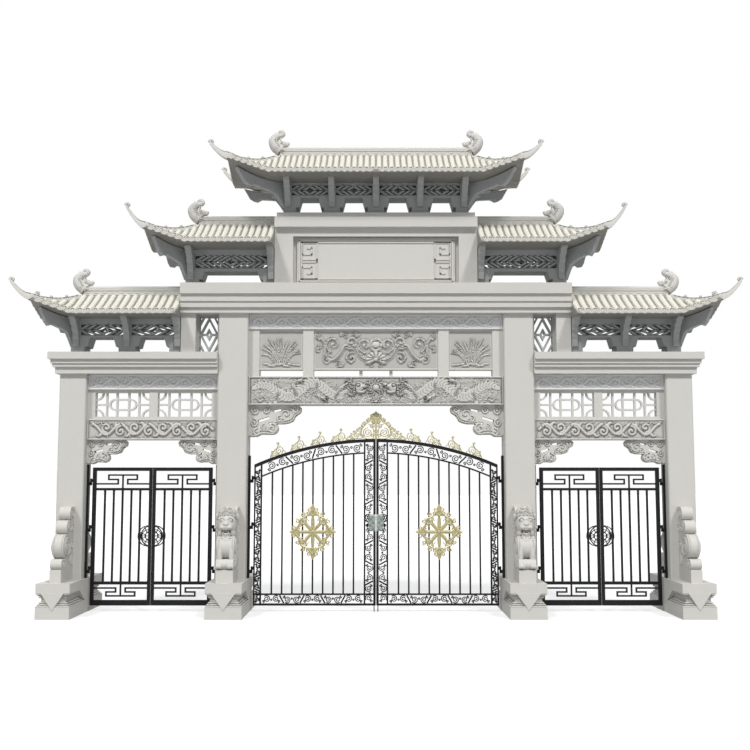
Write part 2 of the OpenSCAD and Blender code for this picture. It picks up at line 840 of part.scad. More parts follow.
// Outline of a ridge beast: body, curled tail and open jaw, seated on the ridge's end
module beast_outline() {
  difference() {
    union() {
      rect(-150, 60, 0, 110);
      translate([60, 70]) circle(110);
      translate([90, 170]) circle(105);
      translate([30, 270]) circle(95);
      translate([-20, 290]) circle(80);
      rect(-170, 0, 60, 130);
    }
    translate([-110, 195]) circle(62);
    rect(-300, 0, -400, 0);
    rect(0, 400, -400, -ridge_h + hip_h + 12);
  }
}

module ridge_beasts() {
  color(STONE) left_and_right() for (r = [low_roof, mid_roof, top_roof])
    translate([r[1], 0, r[4] + eave_t + r[5] + ridge_h]) across_y(85) beast_outline();
}

// ---- gates ----

// Fixed half of a hinge: arm, knuckle and pin. The post is towards -X.
module post_hinge(z, out, play) {
  translate([0, 0, z]) {
    cylinder(r = knuckle_r, h = hinge_h);
    cylinder(r = pin_r, h = 2 * hinge_h + 8);
    block([-out, 0], [-10, 10], [0, hinge_h]);
  }
}

// Gate post beside a column, with its hinges. The column is towards -X.
module gate_post(axis, out, top, heights) {
  translate([axis, 0, 0]) {
    block([-out - gate_post_w, -out], [-30, 30], [ped_h, top]);
    for (z = heights) post_hinge(z, out);
  }
}

module gate_posts() {
  color(IRON) left_and_right() {
    gate_post(-main_axis, main_hinge_out, main_post_top, main_hinges);
    gate_post(side_axis_in, side_hinge_out, side_post_top, side_hinges);
    translate([side_axis_out, 0, 0]) mirror([1, 0, 0])
      gate_post(0, side_hinge_out, side_post_top, side_hinges);
  }
}

// Moving half of a hinge: a bored knuckle and its arm to the leaf
module leaf_hinge(z, gap) {
  translate([0, 0, z + hinge_h + seat_gap]) linear_extrude(hinge_h) difference() {
    union() {
      circle(knuckle_r);
      rect(0, gap + 5, -10, 10);
    }
    circle(pin_r + pin_play);
  }
}

// Height of the middle gate's arch at a distance from the centre
function arch_z(d) = arch_top - arch_r + sqrt(arch_r * arch_r - d * d);

// The disc under a curve a given distance inside the arch, in a leaf's own frame
module under_arch(inset) {
  translate([main_axis, arch_top - arch_r]) circle(arch_r - inset, $fn = 360);
}

foot_rail = 36;
foot_band = 153;

// Rails and stiles of a middle leaf
module main_rails() {
  x0 = leaf_gap;
  x1 = main_leaf_end;
  z0 = gate_foot;
  intersection() {
    under_arch(0);
    union() {
      difference() {
        rect(x0, x1, z0, arch_top + 1);
        under_arch(60);
      }
      intersection() {
        difference() {
          under_arch(arch_band - 28);
          under_arch(arch_band);
        }
        rect(x0 + stile_band, x1 - meet_band, z0, arch_top);
      }
      rect(x0, x1, z0, z0 + foot_rail);
      rect(x0, x1, z0 + foot_rail + foot_band, z0 + foot_rail + foot_band + 28);
      rect(x0, x0 + 25, z0, arch_top);
      rect(x0 + stile_band - bar_w, x0 + stile_band, z0, arch_top);
      rect(x1 - meet_band, x1 - meet_band + bar_w, z0, arch_top);
      rect(x1 - 45, x1, z0, arch_top);
    }
  }
}

// Place of an upright bar across a middle leaf
function main_bar_x(i) = let (a = leaf_gap + stile_band, b = main_leaf_end - meet_band)
  a + i * (b - a) / (main_bars + 1);

module main_uprights() {
  intersection() {
    under_arch(arch_band - 5);
    for (i = [1:main_bars])
      rect(main_bar_x(i) - bar_w / 2, main_bar_x(i) + bar_w / 2, gate_foot + foot_rail + foot_band,
        arch_top);
  }
}

// One middle leaf in its own frame: hinge axis at 0, meeting stile towards +X
module main_leaf() {
  across_y(frame_y) main_rails();
  across_y(bar_y) main_uprights();
  for (z = main_hinges) leaf_hinge(z, leaf_gap);
  for (z = keepers) difference() {
    block([main_leaf_end - bolt_x - 18, main_leaf_end - bolt_x + 18],
      [-frame_y - keeper_y, -frame_y], [z, z + keeper_h]);
    translate([main_leaf_end - bolt_x, -frame_y - keeper_y / 2, z - 1])
      cylinder(r = bolt_r + 1, h = keeper_h + 2);
  }
}

// A meander of thin bars that fills the panel between two rails
module meander(w, h) {
  bar = meander_w;
  wide = 0.27 * w;
  near = 0.09 * w;
  step = 0.255 * h;
  low = 0.30 * h;
  rect(-bar / 2, bar / 2, 0, low + 2 * step);
  rect(-wide - bar / 2, wide + bar / 2, low + 2 * step - bar, low + 2 * step);
  for (s = [-1, 1]) mirror([s < 0 ? 1 : 0, 0]) {
    rect(wide - bar / 2, wide + bar / 2, low + step - bar, low + 2 * step);
    rect(near, wide + bar / 2, low + step - bar, low + step);
    rect(near - bar / 2, near + bar / 2, low - bar, low + step);
    rect(near - bar / 2, w / 2, low - bar, low);
  }
}

// Half disc with a ring, a fan of ribs and a bow, on a meeting stile
module half_medal(x) {
  bar = 14;
  intersection() {
    translate([x, 0]) union() {
      difference() {
        circle(medal_r);
        circle(medal_r - 18);
      }
      difference() {
        circle(0.62 * medal_r);
        circle(0.62 * medal_r - bar);
      }
      for (a = [112.5:45:247.5]) rotate(a) rect(0.3 * medal_r, medal_r - 5, -bar / 2, bar / 2);
      rotate(180) rect(0, medal_r - 5, -bar / 2, bar / 2);
      difference() {
        circle(0.34 * medal_r);
        circle(0.34 * medal_r - bar);
      }
    }
    rect(x - medal_r - 1, x + 5, -medal_r - 1, medal_r + 1);
  }
}

// One side leaf in its own frame: hinge axis at 0, meeting stile towards +X
module side_leaf() {
  x0 = side_leaf_gap;
  x1 = side_leaf_end;
  z0 = gate_foot;
  z1 = side_gate_top;
  foot = [z0 + 99, z0 + 378];
  head = [z1 - 423, z1 - 64];
  stile = 70;
  meet = 58;
  inner = [x0 + stile, x1 - meet];
  w = inner[1] - inner[0];
  across_y(side_frame_y) {
    rect(x0, x1, z0, foot[0]);
    rect(x0, x1, foot[1], foot[1] + 55);
    rect(x0, x1, head[0], head[0] + 46);
    rect(x0, x1, head[1], z1);
    rect(x0, x0 + stile, z0, z1);
    rect(x1 - meet, x1, z0, z1);
  }
  across_y(bar_y) {
    for (i = [1:side_bars]) {
      x = inner[0] + i * w / (side_bars + 1);
      rect(x - side_bar_w / 2, x + side_bar_w / 2, foot[1] + 50, head[0] + 5);
    }
    translate([inner[0] + w / 2, head[0] + 41]) meander(w, head[1] - head[0] - 41);
    translate([inner[0] + w / 2, foot[1] + 5]) mirror([0, 1]) meander(w, foot[1] - foot[0]);
    translate([0, medal_z]) half_medal(x1 - meet);
  }
  for (z = side_hinges) leaf_hinge(z, side_leaf_gap);
}

// Puts a leaf on its hinge, at x, and turns it to face its partner
module hung(x, facing) {
  translate([x, 0, 0]) mirror([facing < 0 ? 1 : 0, 0, 0]) children();
}

// ---- gilt trim, lock plates and drop bolts ----

// Star of four long and four short leaves with drops between them
module rosette() {
  circle(70);
  for (a = [0:90:270]) rotate(a) {
    tall = a == 90 || a == 270 ? 520 : 430;
    polygon([[0, -32], [tall * 0.55, -22], [tall * 0.7, -70], [tall, 0], [tall * 0.7, 70],
      [tall * 0.55, 22], [0, 32]]);
  }
  for (a = [45:90:315]) rotate(a) {
    rect(0, 260, -16, 16);
    translate([285, 0]) circle(48);
    translate([175, 55]) circle(38);
    translate([175, -55]) circle(38);
    rect(140, 200, -60, 60);
  }
}

// Small leafy finial that stands on the arch
module finial() {
  polygon([[-110, -40], [110, -40], [70, 25], [28, 40], [12, 105], [0, 128], [-12, 105],
    [-28, 40], [-70, 25]]);
}

// Half of the crown over the meeting stiles, from the centre towards the hinge
module half_crown() {
  difference() {
    union() {
      rect(0, 560, -60, 22);
      for (c = [[150, 122, 130], [340, 78, 82], [468, 52, 52]]) translate([c[0], c[1]])
        difference() {
          circle(c[2]);
          circle(c[2] * 0.62);
        }
      polygon([[0, 0], [60, 0], [42, 180], [120, 260], [70, 330], [40, 420], [14, 500], [0, 500]]);
    }
    rect(-10, meet_gap / 2, -100, 600);
  }
}

// Gilt trim of a middle leaf, in the leaf's own frame
module gilt() {
  mid = (main_bars + 1) / 2;
  sheet = 16;
  translate([main_bar_x(mid), 0, rosette_z]) {
    through_y(-bar_y - sheet, -bar_y) rosette();
    through_y(bar_y, bar_y + sheet) rosette();
  }
  across_y(8) difference() {
    union() {
      for (d = [690, 1065, 1440, 1815]) translate([main_axis - d, arch_z(d)])
        rotate(atan2(d, arch_r)) finial();
      translate([main_axis, arch_top]) mirror([1, 0]) half_crown();
    }
    under_arch(-seat_gap);
  }
}

// Half of the lock plate, on both faces of a meeting stile
module lock_plate() {
  front_and_back() through_y(-frame_y - 14, -frame_y)
    difference() {
      translate([0, lock_z]) rect(main_leaf_end - 145, main_leaf_end, 0, lock_h);
      for (s = [0, lock_h]) translate([main_leaf_end - 145, lock_z + s]) circle(38);
    }
}

// Drop bolt in front of a meeting stile: rod, collar and pull
module drop_bolt() {
  top = keepers[1] + keeper_h;
  translate([main_leaf_end - bolt_x, -frame_y - keeper_y / 2, 0]) {
    translate([0, 0, bolt_foot]) cylinder(r = bolt_r, h = top + 60 - bolt_foot);
    translate([0, 0, top + seat_gap]) cylinder(r = bolt_r + 3, h = 14);
    translate([0, 0, top + 40]) rotate([90, 0, 0]) cylinder(r = 7, h = 55);
  }
}

color(STONE)  // pedestal_left_outer
  pedestal(-outer_x, outer_ped_w, 195);
color(STONE)  // pedestal_left_inner
  pedestal(-inner_x, inner_ped_w, 210);
color(STONE)  // pedestal_right_inner
  pedestal(inner_x, inner_ped_w, 210);
color(STONE)  // pedestal_right_outer
  pedestal(outer_x, outer_ped_w, 195);
color(STONE)  // column_left_outer
  column(-outer_x, outer_col_w, outer_col_top);
color(STONE)  // column_left_inner
  column(-inner_x, inner_col_w, inner_col_top);
color(STONE)  // column_right_inner
  column(inner_x, inner_col_w, inner_col_top);
color(STONE)  // column_right_outer
  column(outer_x, outer_col_w, outer_col_top);
color(STONE)  // drum_stones_left_outer
  drum_stones(-outer_x, outer_half, outer_drum_t);
color(STONE)  // drum_stones_left_inner
  drum_stones(-inner_x, inner_half, inner_drum_t);
color(STONE)  // drum_stones_right_inner
  drum_stones(inner_x, inner_half, inner_drum_t);
color(STONE)  // drum_stones_right_outer
  drum_stones(outer_x, outer_half, outer_drum_t);
side_beams();
side_brackets();
side_lattices();
side_friezes();
side_cornices();
main_beam();
main_brackets();
panel_posts();
carved_panels();
main_frieze();
main_cornice();
short_pillars();
pillar_lattices();
plaque_block();
plaque_boards();
plaque_moulding();
color(STONE) mirror([1, 0, 0]) eave_wall_low();  // eave_wall_left_low
color(STONE) eave_wall_low();  // eave_wall_right_low
color(STONE) mirror([1, 0, 0]) eave_wall_mid();  // eave_wall_left_mid
color(STONE) eave_wall_mid();  // eave_wall_right_mid
eave_wall_top();
color(TILE) mirror([1, 0, 0]) side_roof(low_roof);  // roof_left_low
color(TILE) side_roof(low_roof);  // roof_right_low
color(TILE) mirror([1, 0, 0]) side_roof(mid_roof);  // roof_left_mid
color(TILE) side_roof(mid_roof);  // roof_right_mid
roof_top();
roof_ridges();
ridge_beasts();
gate_posts();
color(IRON) hung(-main_axis, 1) main_leaf();  // main_gate_left
color(IRON) hung(main_axis, -1) main_leaf();  // main_gate_right
color(IRON)  // side_gate_left_outer
  hung(-side_axis_out, 1) side_leaf();
color(IRON)  // side_gate_left_inner
  hung(-side_axis_in, -1) side_leaf();
color(IRON)  // side_gate_right_inner
  hung(side_axis_in, 1) side_leaf();
color(IRON)  // side_gate_right_outer
  hung(side_axis_out, -1) side_leaf();
color(GILT) hung(-main_axis, 1) gilt();  // gilt_left
color(GILT) hung(main_axis, -1) gilt();  // gilt_right
color(STEEL) hung(-main_axis, 1) lock_plate();  // lock_plate_left
color(STEEL) hung(main_axis, -1) lock_plate();  // lock_plate_right
color(STEEL) hung(-main_axis, 1) drop_bolt();  // drop_bolt_left
color(STEEL) hung(main_axis, -1) drop_bolt();  // drop_bolt_right
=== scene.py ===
"""Looks of the granite paifang: carving, tile rows, iron scrollwork and gilt trim on the frame."""
import json
import math
import random

import bpy
import numpy as np
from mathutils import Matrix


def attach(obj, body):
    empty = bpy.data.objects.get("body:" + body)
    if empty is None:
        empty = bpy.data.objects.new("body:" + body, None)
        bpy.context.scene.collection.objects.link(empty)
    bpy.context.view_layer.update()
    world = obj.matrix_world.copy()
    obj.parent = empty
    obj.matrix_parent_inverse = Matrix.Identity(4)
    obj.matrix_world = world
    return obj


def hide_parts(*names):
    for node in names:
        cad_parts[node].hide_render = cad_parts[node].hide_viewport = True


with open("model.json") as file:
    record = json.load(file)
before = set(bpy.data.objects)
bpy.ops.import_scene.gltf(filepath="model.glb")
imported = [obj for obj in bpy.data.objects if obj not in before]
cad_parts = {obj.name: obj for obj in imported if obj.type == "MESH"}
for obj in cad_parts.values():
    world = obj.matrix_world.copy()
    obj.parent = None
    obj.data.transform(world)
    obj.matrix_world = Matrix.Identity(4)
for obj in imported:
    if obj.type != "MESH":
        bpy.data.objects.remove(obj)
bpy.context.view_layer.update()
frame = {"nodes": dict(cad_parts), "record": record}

# ---------------------------------------------------------------- camera and light

EYE = (-0.018, -19.375, 2.40)
TILT_UP = 5.754
LENS = 50.0
SENSOR = 36.0
FARTHEST = 200

# The sun lamps: name, azimuth, height, strength, spread and colour. Azimuth 0 shines from the street
LAMPS = [("street_lamp_left", -30, 47, 1.62, 8, (1.0, 0.985, 0.96)),
         ("street_lamp_right", 30, 47, 1.62, 8, (1.0, 0.985, 0.96)),
         ("yard_lamp", 180, 42, 0.75, 20, (1, 1, 1))]
SKY = (0.93, 0.97, 1.0, 1)
SKY_STRENGTH = 0.34
FLOOR_GLOW = 0.55
FLOOR_REACH = 150

# The (x sign, y sign) of each copy of a part that is drawn once
FRONT_ONLY = [(1, 1)]
BOTH_FACES = [(1, 1), (-1, -1)]
BOTH_SIDES = [(1, 1), (-1, 1)]
ALL_FOUR = [(1, 1), (-1, 1), (1, -1), (-1, -1)]


def make_camera():
    """A camera at eye height over the street, tilted up a little."""
    data = bpy.data.cameras.new("street_view")
    data.lens = LENS
    data.sensor_width = SENSOR
    data.clip_end = FARTHEST
    camera = bpy.data.objects.new("street_view", data)
    camera.location = EYE
    camera.rotation_euler = (math.radians(90 + TILT_UP), 0, 0)
    bpy.context.scene.collection.objects.link(camera)
    bpy.context.scene.camera = camera


def make_sun(name, azimuth, height, strength, spread, colour):
    """A sun lamp, with its angles in degrees."""
    data = bpy.data.lights.new(name, "SUN")
    data.energy = strength
    data.angle = math.radians(spread)
    data.color = colour
    lamp = bpy.data.objects.new(name, data)
    lamp.rotation_euler = (math.radians(90 - height), 0, math.radians(azimuth))
    bpy.context.scene.collection.objects.link(lamp)


# ---------------------------------------------------------------- shader expressions


class Value:
    """A shader number that Python's operators build on."""

    def __init__(self, finish, socket):
        self.finish = finish
        self.socket = socket

    def __add__(self, other):
        return self.finish.math("ADD", self, other)

    def __sub__(self, other):
        return self.finish.math("SUBTRACT", self, other)

    def __rsub__(self, other):
        return self.finish.math("SUBTRACT", other, self)

    def __mul__(self, other):
        return self.finish.math("MULTIPLY", self, other)

    def __truediv__(self, other):
        return self.finish.math("DIVIDE", self, other)

    __radd__ = __add__
    __rmul__ = __mul__


class Node:
    """A shader node with its outputs by name."""

    def __init__(self, finish, node):
        self.finish = finish
        self.node = node

    def out(self, name):
        """One output, by its name or number."""
        return Value(self.finish, self.node.outputs[name])


class Finish:
    """A procedural material or sky, built from one method that adds a node."""

    def __init__(self, owner):
        self.material = owner
        owner.use_nodes = True
        self.tree = owner.node_tree
        self.tree.nodes.clear()

    @classmethod
    def of_stuff(cls, name):
        """A new material, with its textures laid by the object's own coordinates."""
        finish = cls(bpy.data.materials.new(name))
        finish.place = finish.add("ShaderNodeTexCoord").out("Object")
        return finish

    def add(self, kind, settings=None, values=None):
        """Adds a node: its type, its settings, then the values or links of its sockets."""
        node = self.tree.nodes.new(kind)
        for key, setting in (settings or {}).items():
            if key == "stops":
                self.set_stops(node.color_ramp, setting)
            else:
                setattr(node, key, setting)
        for key, value in (values or {}).items():
            if isinstance(value, Value):
                self.tree.links.new(value.socket, node.inputs[key])
            else:
                node.inputs[key].default_value = value
        return Node(self, node)

    @staticmethod
    def set_stops(ramp, stops):
        """Gives a ramp its grey stops, each a place and a shade."""
        while len(ramp.elements) < len(stops):
            ramp.elements.new(0.5)
        for element, (place, shade) in zip(ramp.elements, stops):
            element.position = place
            element.color = (shade, shade, shade, 1)

    def math(self, operation, a, b):
        """One operation on two numbers."""
        return self.add("ShaderNodeMath", {"operation": operation}, {0: a, 1: b}).out("Value")

    def noise(self, scale, detail, rough, stretch=None):
        """Cloudy noise, 0 to 1, stretched along the axes when stretch is given."""
        place = self.place
        if stretch:
            values = {"Vector": place, "Scale": stretch}
            place = self.add("ShaderNodeMapping", None, values).out("Vector")
        values = {"Vector": place, "Scale": scale, "Detail": detail, "Roughness": rough}
        return self.add("ShaderNodeTexNoise", None, values).out("Fac")

    def ramp(self, value, *stops):
        """A number sent through a ramp of grey stops."""
        return self.add("ShaderNodeValToRGB", {"stops": stops}, {"Fac": value}).out("Color")

    def blend(self, amount, a, b):
        """Colour a where amount is 0 and colour b where it is 1."""
        settings = {"data_type": "RGBA", "clamp_factor": True}
        return self.add("ShaderNodeMix", settings, {0: amount, 6: a, 7: b}).out(2)

    def background_rays(self):
        """1 for rays from the camera, from gloss and through glass."""
        rays = self.add("ShaderNodeLightPath")
        bounced = self.math("MAXIMUM", rays.out("Is Glossy Ray"), rays.out("Is Transmission Ray"))
        return self.math("MAXIMUM", rays.out("Is Camera Ray"), bounced)

    def attribute(self, name):
        """A number stored on the mesh's points."""
        return self.add("ShaderNodeAttribute", {"attribute_name": name}).out("Fac")

    def bump(self, height, strength, distance):
        """A normal from a height."""
        values = {"Height": height, "Strength": strength, "Distance": distance}
        return self.add("ShaderNodeBump", None, values).out("Normal")

    def surface(self, **values):
        """The finished surface. Keys are the shader's sockets with _ for a space."""
        named = {key.replace("_", " "): value for key, value in values.items()}
        shader = self.add("ShaderNodeBsdfPrincipled", None, named).out("BSDF")
        self.add("ShaderNodeOutputMaterial", None, {"Surface": shader})
        return self.material


def rgb(red, green, blue):
    """A solid colour."""
    return (red, green, blue, 1)


def tint(colour, factor):
    """A colour made darker or lighter, no lighter than white."""
    return rgb(*[min(1, part * factor) for part in colour])


def granite(name, colour, painted_shade_colour):
    """Fine pale granite: soft clouds, mica grains, light weather streaks, and painted shade in its recesses.
    """
    f = Finish.of_stuff(name)
    clouds = f.noise(scale=1.7, detail=4, rough=0.55)
    streaks = f.noise(scale=2.2, detail=3, rough=0.5, stretch=(3.0, 3.0, 0.35))
    grain = f.noise(scale=70, detail=3, rough=0.7)
    mica = f.ramp(f.noise(scale=230, detail=1, rough=0.5), (0.60, 0), (0.68, 1))
    quartz = f.ramp(f.noise(scale=180, detail=1, rough=0.5), (0.60, 0), (0.70, 1))
    tone = (clouds - 0.5) * 0.10 + (streaks - 0.5) * 0.08 + (grain - 0.5) * 0.16 + 0.5
    base = f.blend(tone, tint(colour, 0.78), tint(colour, 1.22))
    base = f.blend(mica * 0.35, base, tint(colour, 0.45))
    base = f.blend(quartz * 0.22, base, rgb(0.86, 0.85, 0.83))
    # Painted shade: recesses and the relief ground darken towards the shade colour, by the amount stored on
    # the mesh.
    base = f.blend(f.attribute("hollow"), base, rgb(*painted_shade_colour))
    height = grain * 0.6 + f.noise(scale=18, detail=3, rough=0.6) * 0.4
    return f.surface(Base_Color=base, Roughness=0.72 + (grain - 0.5) * 0.2,
                     Normal=f.bump(height, 0.18, 0.004))


def tile_stone(name, colour, row_shade):
    """Pale tiles: each a little lighter or darker, with soot in the grain."""
    f = Finish.of_stuff(name)
    patches = f.noise(scale=5.5, detail=2, rough=0.5)
    grain = f.noise(scale=60, detail=3, rough=0.6)
    tone = (patches - 0.5) * 0.22 + (grain - 0.5) * 0.14 + 0.5
    base = f.blend(tone, tint(colour, row_shade), tint(colour, 1.1))
    # Painted shade in recesses, such as the sunk rings of the tile ends.
    base = f.blend(f.attribute("hollow"), base, rgb(0.20, 0.19, 0.165))
    return f.surface(Base_Color=base, Roughness=0.66 + (grain - 0.5) * 0.2,
                     Normal=f.bump(grain, 0.15, 0.003))


def black_iron(name):
    """Black gate paint over iron, a little dusty on its upper grain."""
    f = Finish.of_stuff(name)
    dust = f.ramp(f.noise(scale=7, detail=4, rough=0.6), (0.45, 0), (0.8, 1))
    skin = f.noise(scale=120, detail=2, rough=0.5)
    base = f.blend(dust * 0.35, rgb(0.005, 0.005, 0.006), rgb(0.018, 0.017, 0.016))
    return f.surface(Base_Color=base, Roughness=0.48 + dust * 0.2, Specular_IOR_Level=0.22,
                     Normal=f.bump(skin, 0.08, 0.001))


def gilt(name):
    """Pale gold paint, browner where it is thin."""
    f = Finish.of_stuff(name)
    thin = f.ramp(f.noise(scale=26, detail=3, rough=0.6), (0.48, 0), (0.72, 1))
    skin = f.noise(scale=90, detail=2, rough=0.5)
    base = f.blend(thin * 0.6, rgb(0.45, 0.405, 0.215), rgb(0.17, 0.15, 0.065))
    # Painted shade in recesses, by the amount stored on the mesh.
    base = f.blend(f.attribute("hollow"), base, rgb(0.22, 0.19, 0.07))
    return f.surface(Base_Color=base, Metallic=0.25, Roughness=0.42 + (skin - 0.5) * 0.2,
                     Normal=f.bump(skin, 0.12, 0.001))


def grey_casting(name):
    """Grey-green painted casting of the lock plates."""
    f = Finish.of_stuff(name)
    wear = f.ramp(f.noise(scale=30, detail=3, rough=0.6), (0.45, 0), (0.7, 1))
    base = f.blend(wear * 0.5, rgb(0.30, 0.35, 0.32), rgb(0.43, 0.46, 0.43))
    # Painted shade in the dips of the casting, by the amount stored on the mesh.
    base = f.blend(f.attribute("hollow"), base, rgb(0.12, 0.13, 0.12))
    return f.surface(Base_Color=base, Metallic=0.2, Roughness=0.45 + wear * 0.15,
                     Normal=f.bump(wear, 0.2, 0.001))


GRANITE = granite("grey_granite", (0.580, 0.572, 0.540), (0.16, 0.16, 0.155))
CARVED = granite("carved_granite", (0.585, 0.575, 0.545), (0.13, 0.128, 0.122))
# Painted light: a lighter copy of the granite on the friezes, lifting them out of the shadow under the
# cornices.
LIT_FRIEZE_GRANITE = granite("lit_frieze_granite", (0.745, 0.75, 0.74), (0.34, 0.345, 0.345))
# Painted shade: a darker copy of the granite for the walls, lattices and window chevrons under the roofs.
SHADED = granite("shaded_granite", (0.36, 0.375, 0.37), (0.14, 0.145, 0.145))
TILE = tile_stone("pale_tile", (0.735, 0.72, 0.645), 0.80)
# Painted shade: the roof slab between the tile rows is dark to stand for the shade in the grooves.
TILE_BED_SHADE = tile_stone("tile_bed_shade", (0.27, 0.26, 0.235), 0.7)
IRON = black_iron("black_iron")
GILT = gilt("gilt_paint")
CASTING = grey_casting("grey_casting")

# ---------------------------------------------------------------- making meshes


class Shape:
    """Points and faces of one piece, gathered from many parts."""

    def __init__(self):
        self.points = []
        self.painted_shades = []
        self.faces = []
        self.count = 0

    def add(self, points, faces, copies=FRONT_ONLY, hollow=None):
        """Adds a part, once for each (x sign, y sign) in copies, with the painted shade of each point."""
        points = np.asarray(points, float).reshape(-1, 3)
        hollow = np.zeros(len(points)) if hollow is None else np.asarray(hollow, float).ravel()
        faces = [list(face) for face in faces]
        for x_sign, y_sign in copies:
            self.points.append(points * (x_sign, y_sign, 1))
            self.painted_shades.append(hollow)
            step = 1 if x_sign * y_sign > 0 else -1
            self.faces += [[i + self.count for i in face][::step] for face in faces]
            self.count += len(points)
        return self

    def piece(self, name, body, material, slot, sharp=38, replaces=()):
        """Makes the mesh, puts it on a body and gives it its finish."""
        mesh = bpy.data.meshes.new(name)
        mesh.from_pydata(np.concatenate(self.points).tolist(), [], self.faces)
        # Each point's painted shade amount, which the finishes read as darkening.
        layer = mesh.attributes.new("hollow", "FLOAT", "POINT")
        layer.data.foreach_set("value", np.concatenate(self.painted_shades).astype(np.float32))
        mesh.polygons.foreach_set("use_smooth", [True] * len(mesh.polygons))
        mesh.set_sharp_from_angle(angle=math.radians(sharp))
        mesh.materials.append(material)
        thing = bpy.data.objects.new(name, mesh)
        bpy.context.scene.collection.objects.link(thing)
        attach(thing, body)
        if replaces:
            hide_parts(*replaces)


def grid_faces(rows, columns, keep=None):
    """Quads of a grid of points, all or only those marked in keep."""
    faces = []
    for i in range(rows - 1):
        for j in range(columns - 1):
            if keep is None or keep[i, j]:
                a = i * columns + j
                faces.append((a, a + 1, a + columns + 1, a + columns))
    return faces


def skin_faces(rings, sides):
    """Faces round a row of rings, closed at both ends."""
    faces = []
    for i in range(rings - 1):
        for j in range(sides):
            a, b = i * sides + j, i * sides + (j + 1) % sides
            faces.append((a, b, b + sides, a + sides))
    last = (rings - 1) * sides
    return faces + [tuple(range(sides))[::-1], tuple(range(last, last + sides))]


def bar(x, y, z, edge=0.0):
    """A block between pairs of limits, with its long edges bevelled when edge is set."""
    (x0, x1), (y0, y1), (z0, z1) = x, y, z
    if not edge:
        points = [(a, b, c) for a in (x0, x1) for b in (y0, y1) for c in (z0, z1)]
        return points, [(0, 1, 3, 2), (4, 6, 7, 5), (0, 4, 5, 1), (2, 3, 7, 6), (0, 2, 6, 4),
                        (1, 5, 7, 3)]
    ring = [(y0, z0 + edge), (y0 + edge, z0), (y1 - edge, z0), (y1, z0 + edge),
            (y1, z1 - edge), (y1 - edge, z1), (y0 + edge, z1), (y0, z1 - edge)]
    points = [(a, b, c) for a in (x0, x1) for b, c in ring]
    sides = [(i, i + 8, (i + 1) % 8 + 8, (i + 1) % 8) for i in range(8)]
    return points, sides + [tuple(range(8)), tuple(range(15, 7, -1))]


def tube(path, radius, sides=6, flat=1.0, across=(0, 1, 0)):
    """A bar swept along a path. flat squashes its section along the across direction."""
    path = np.asarray(path, float)
    radius = np.broadcast_to(np.asarray(radius, float), (len(path),))
    heading = np.gradient(path, axis=0)
    heading /= np.maximum(np.linalg.norm(heading, axis=1, keepdims=True), 1e-9)
    across = np.asarray(across, float)
    second = across - heading * (heading @ across)[:, None]
    second /= np.maximum(np.linalg.norm(second, axis=1, keepdims=True), 1e-9)
    first = np.cross(second, heading)
    turn = np.arange(sides) * 2 * math.pi / sides + math.pi / sides
    cos, sin = np.cos(turn)[None, :, None], np.sin(turn)[None, :, None]
    ring = cos * first[:, None] + flat * sin * second[:, None]
    points = path[:, None] + ring * radius[:, None, None]
    return points.reshape(-1, 3), skin_faces(len(path), sides)


def ball(centre, size, rings=6, sides=10):
    """An ellipsoid with half axes size."""
    points, faces = [], []
    for i in range(rings + 1):
        lat = math.pi * i / rings
        for j in range(sides):
            lon = 2 * math.pi * j / sides
            points.append((math.sin(lat) * math.cos(lon), math.sin(lat) * math.sin(lon), math.cos(lat)))
    for i in range(rings):
        for j in range(sides):
            a, b = i * sides + j, i * sides + (j + 1) % sides
            faces.append((a, a + sides, b + sides, b))
    return np.asarray(points) * size + centre, faces


def spiral(x, z, size, turns=1.4, start=0.0, hand=1, steps=26, inner=0.12):
    """Points of a spiral from its open end in to its eye, in the X-Z plane."""
    t = np.linspace(0, 1, steps)
    angle = start + hand * 2 * math.pi * turns * t
    reach = size * (1 - (1 - inner) * t)
    return np.stack([x + reach * np.cos(angle), z + reach * np.sin(angle)], 1)


def curve(*points, steps=14):
    """A smooth curve through points, given as (x, z) pairs."""
    p = np.asarray(points, float)
    p = np.concatenate([[2 * p[0] - p[1]], p, [2 * p[-1] - p[-2]]])
    t = np.linspace(0, 1, steps, endpoint=False)[:, None]
    out = []
    for a, b, c, d in zip(p, p[1:], p[2:], p[3:]):
        out.append(0.5 * (2 * b + (c - a) * t + (2 * a - 5 * b + 4 * c - d) * t ** 2
                          + (3 * b - a - 3 * c + d) * t ** 3))
    return np.concatenate(out + [p[-2:-1]])


def upright(path, y):
    """An (x, z) path set up at depth y."""
    path = np.asarray(path, float)
    return np.stack([path[:, 0], np.full(len(path), y), path[:, 1]], 1)


# ---------------------------------------------------------------- relief carving


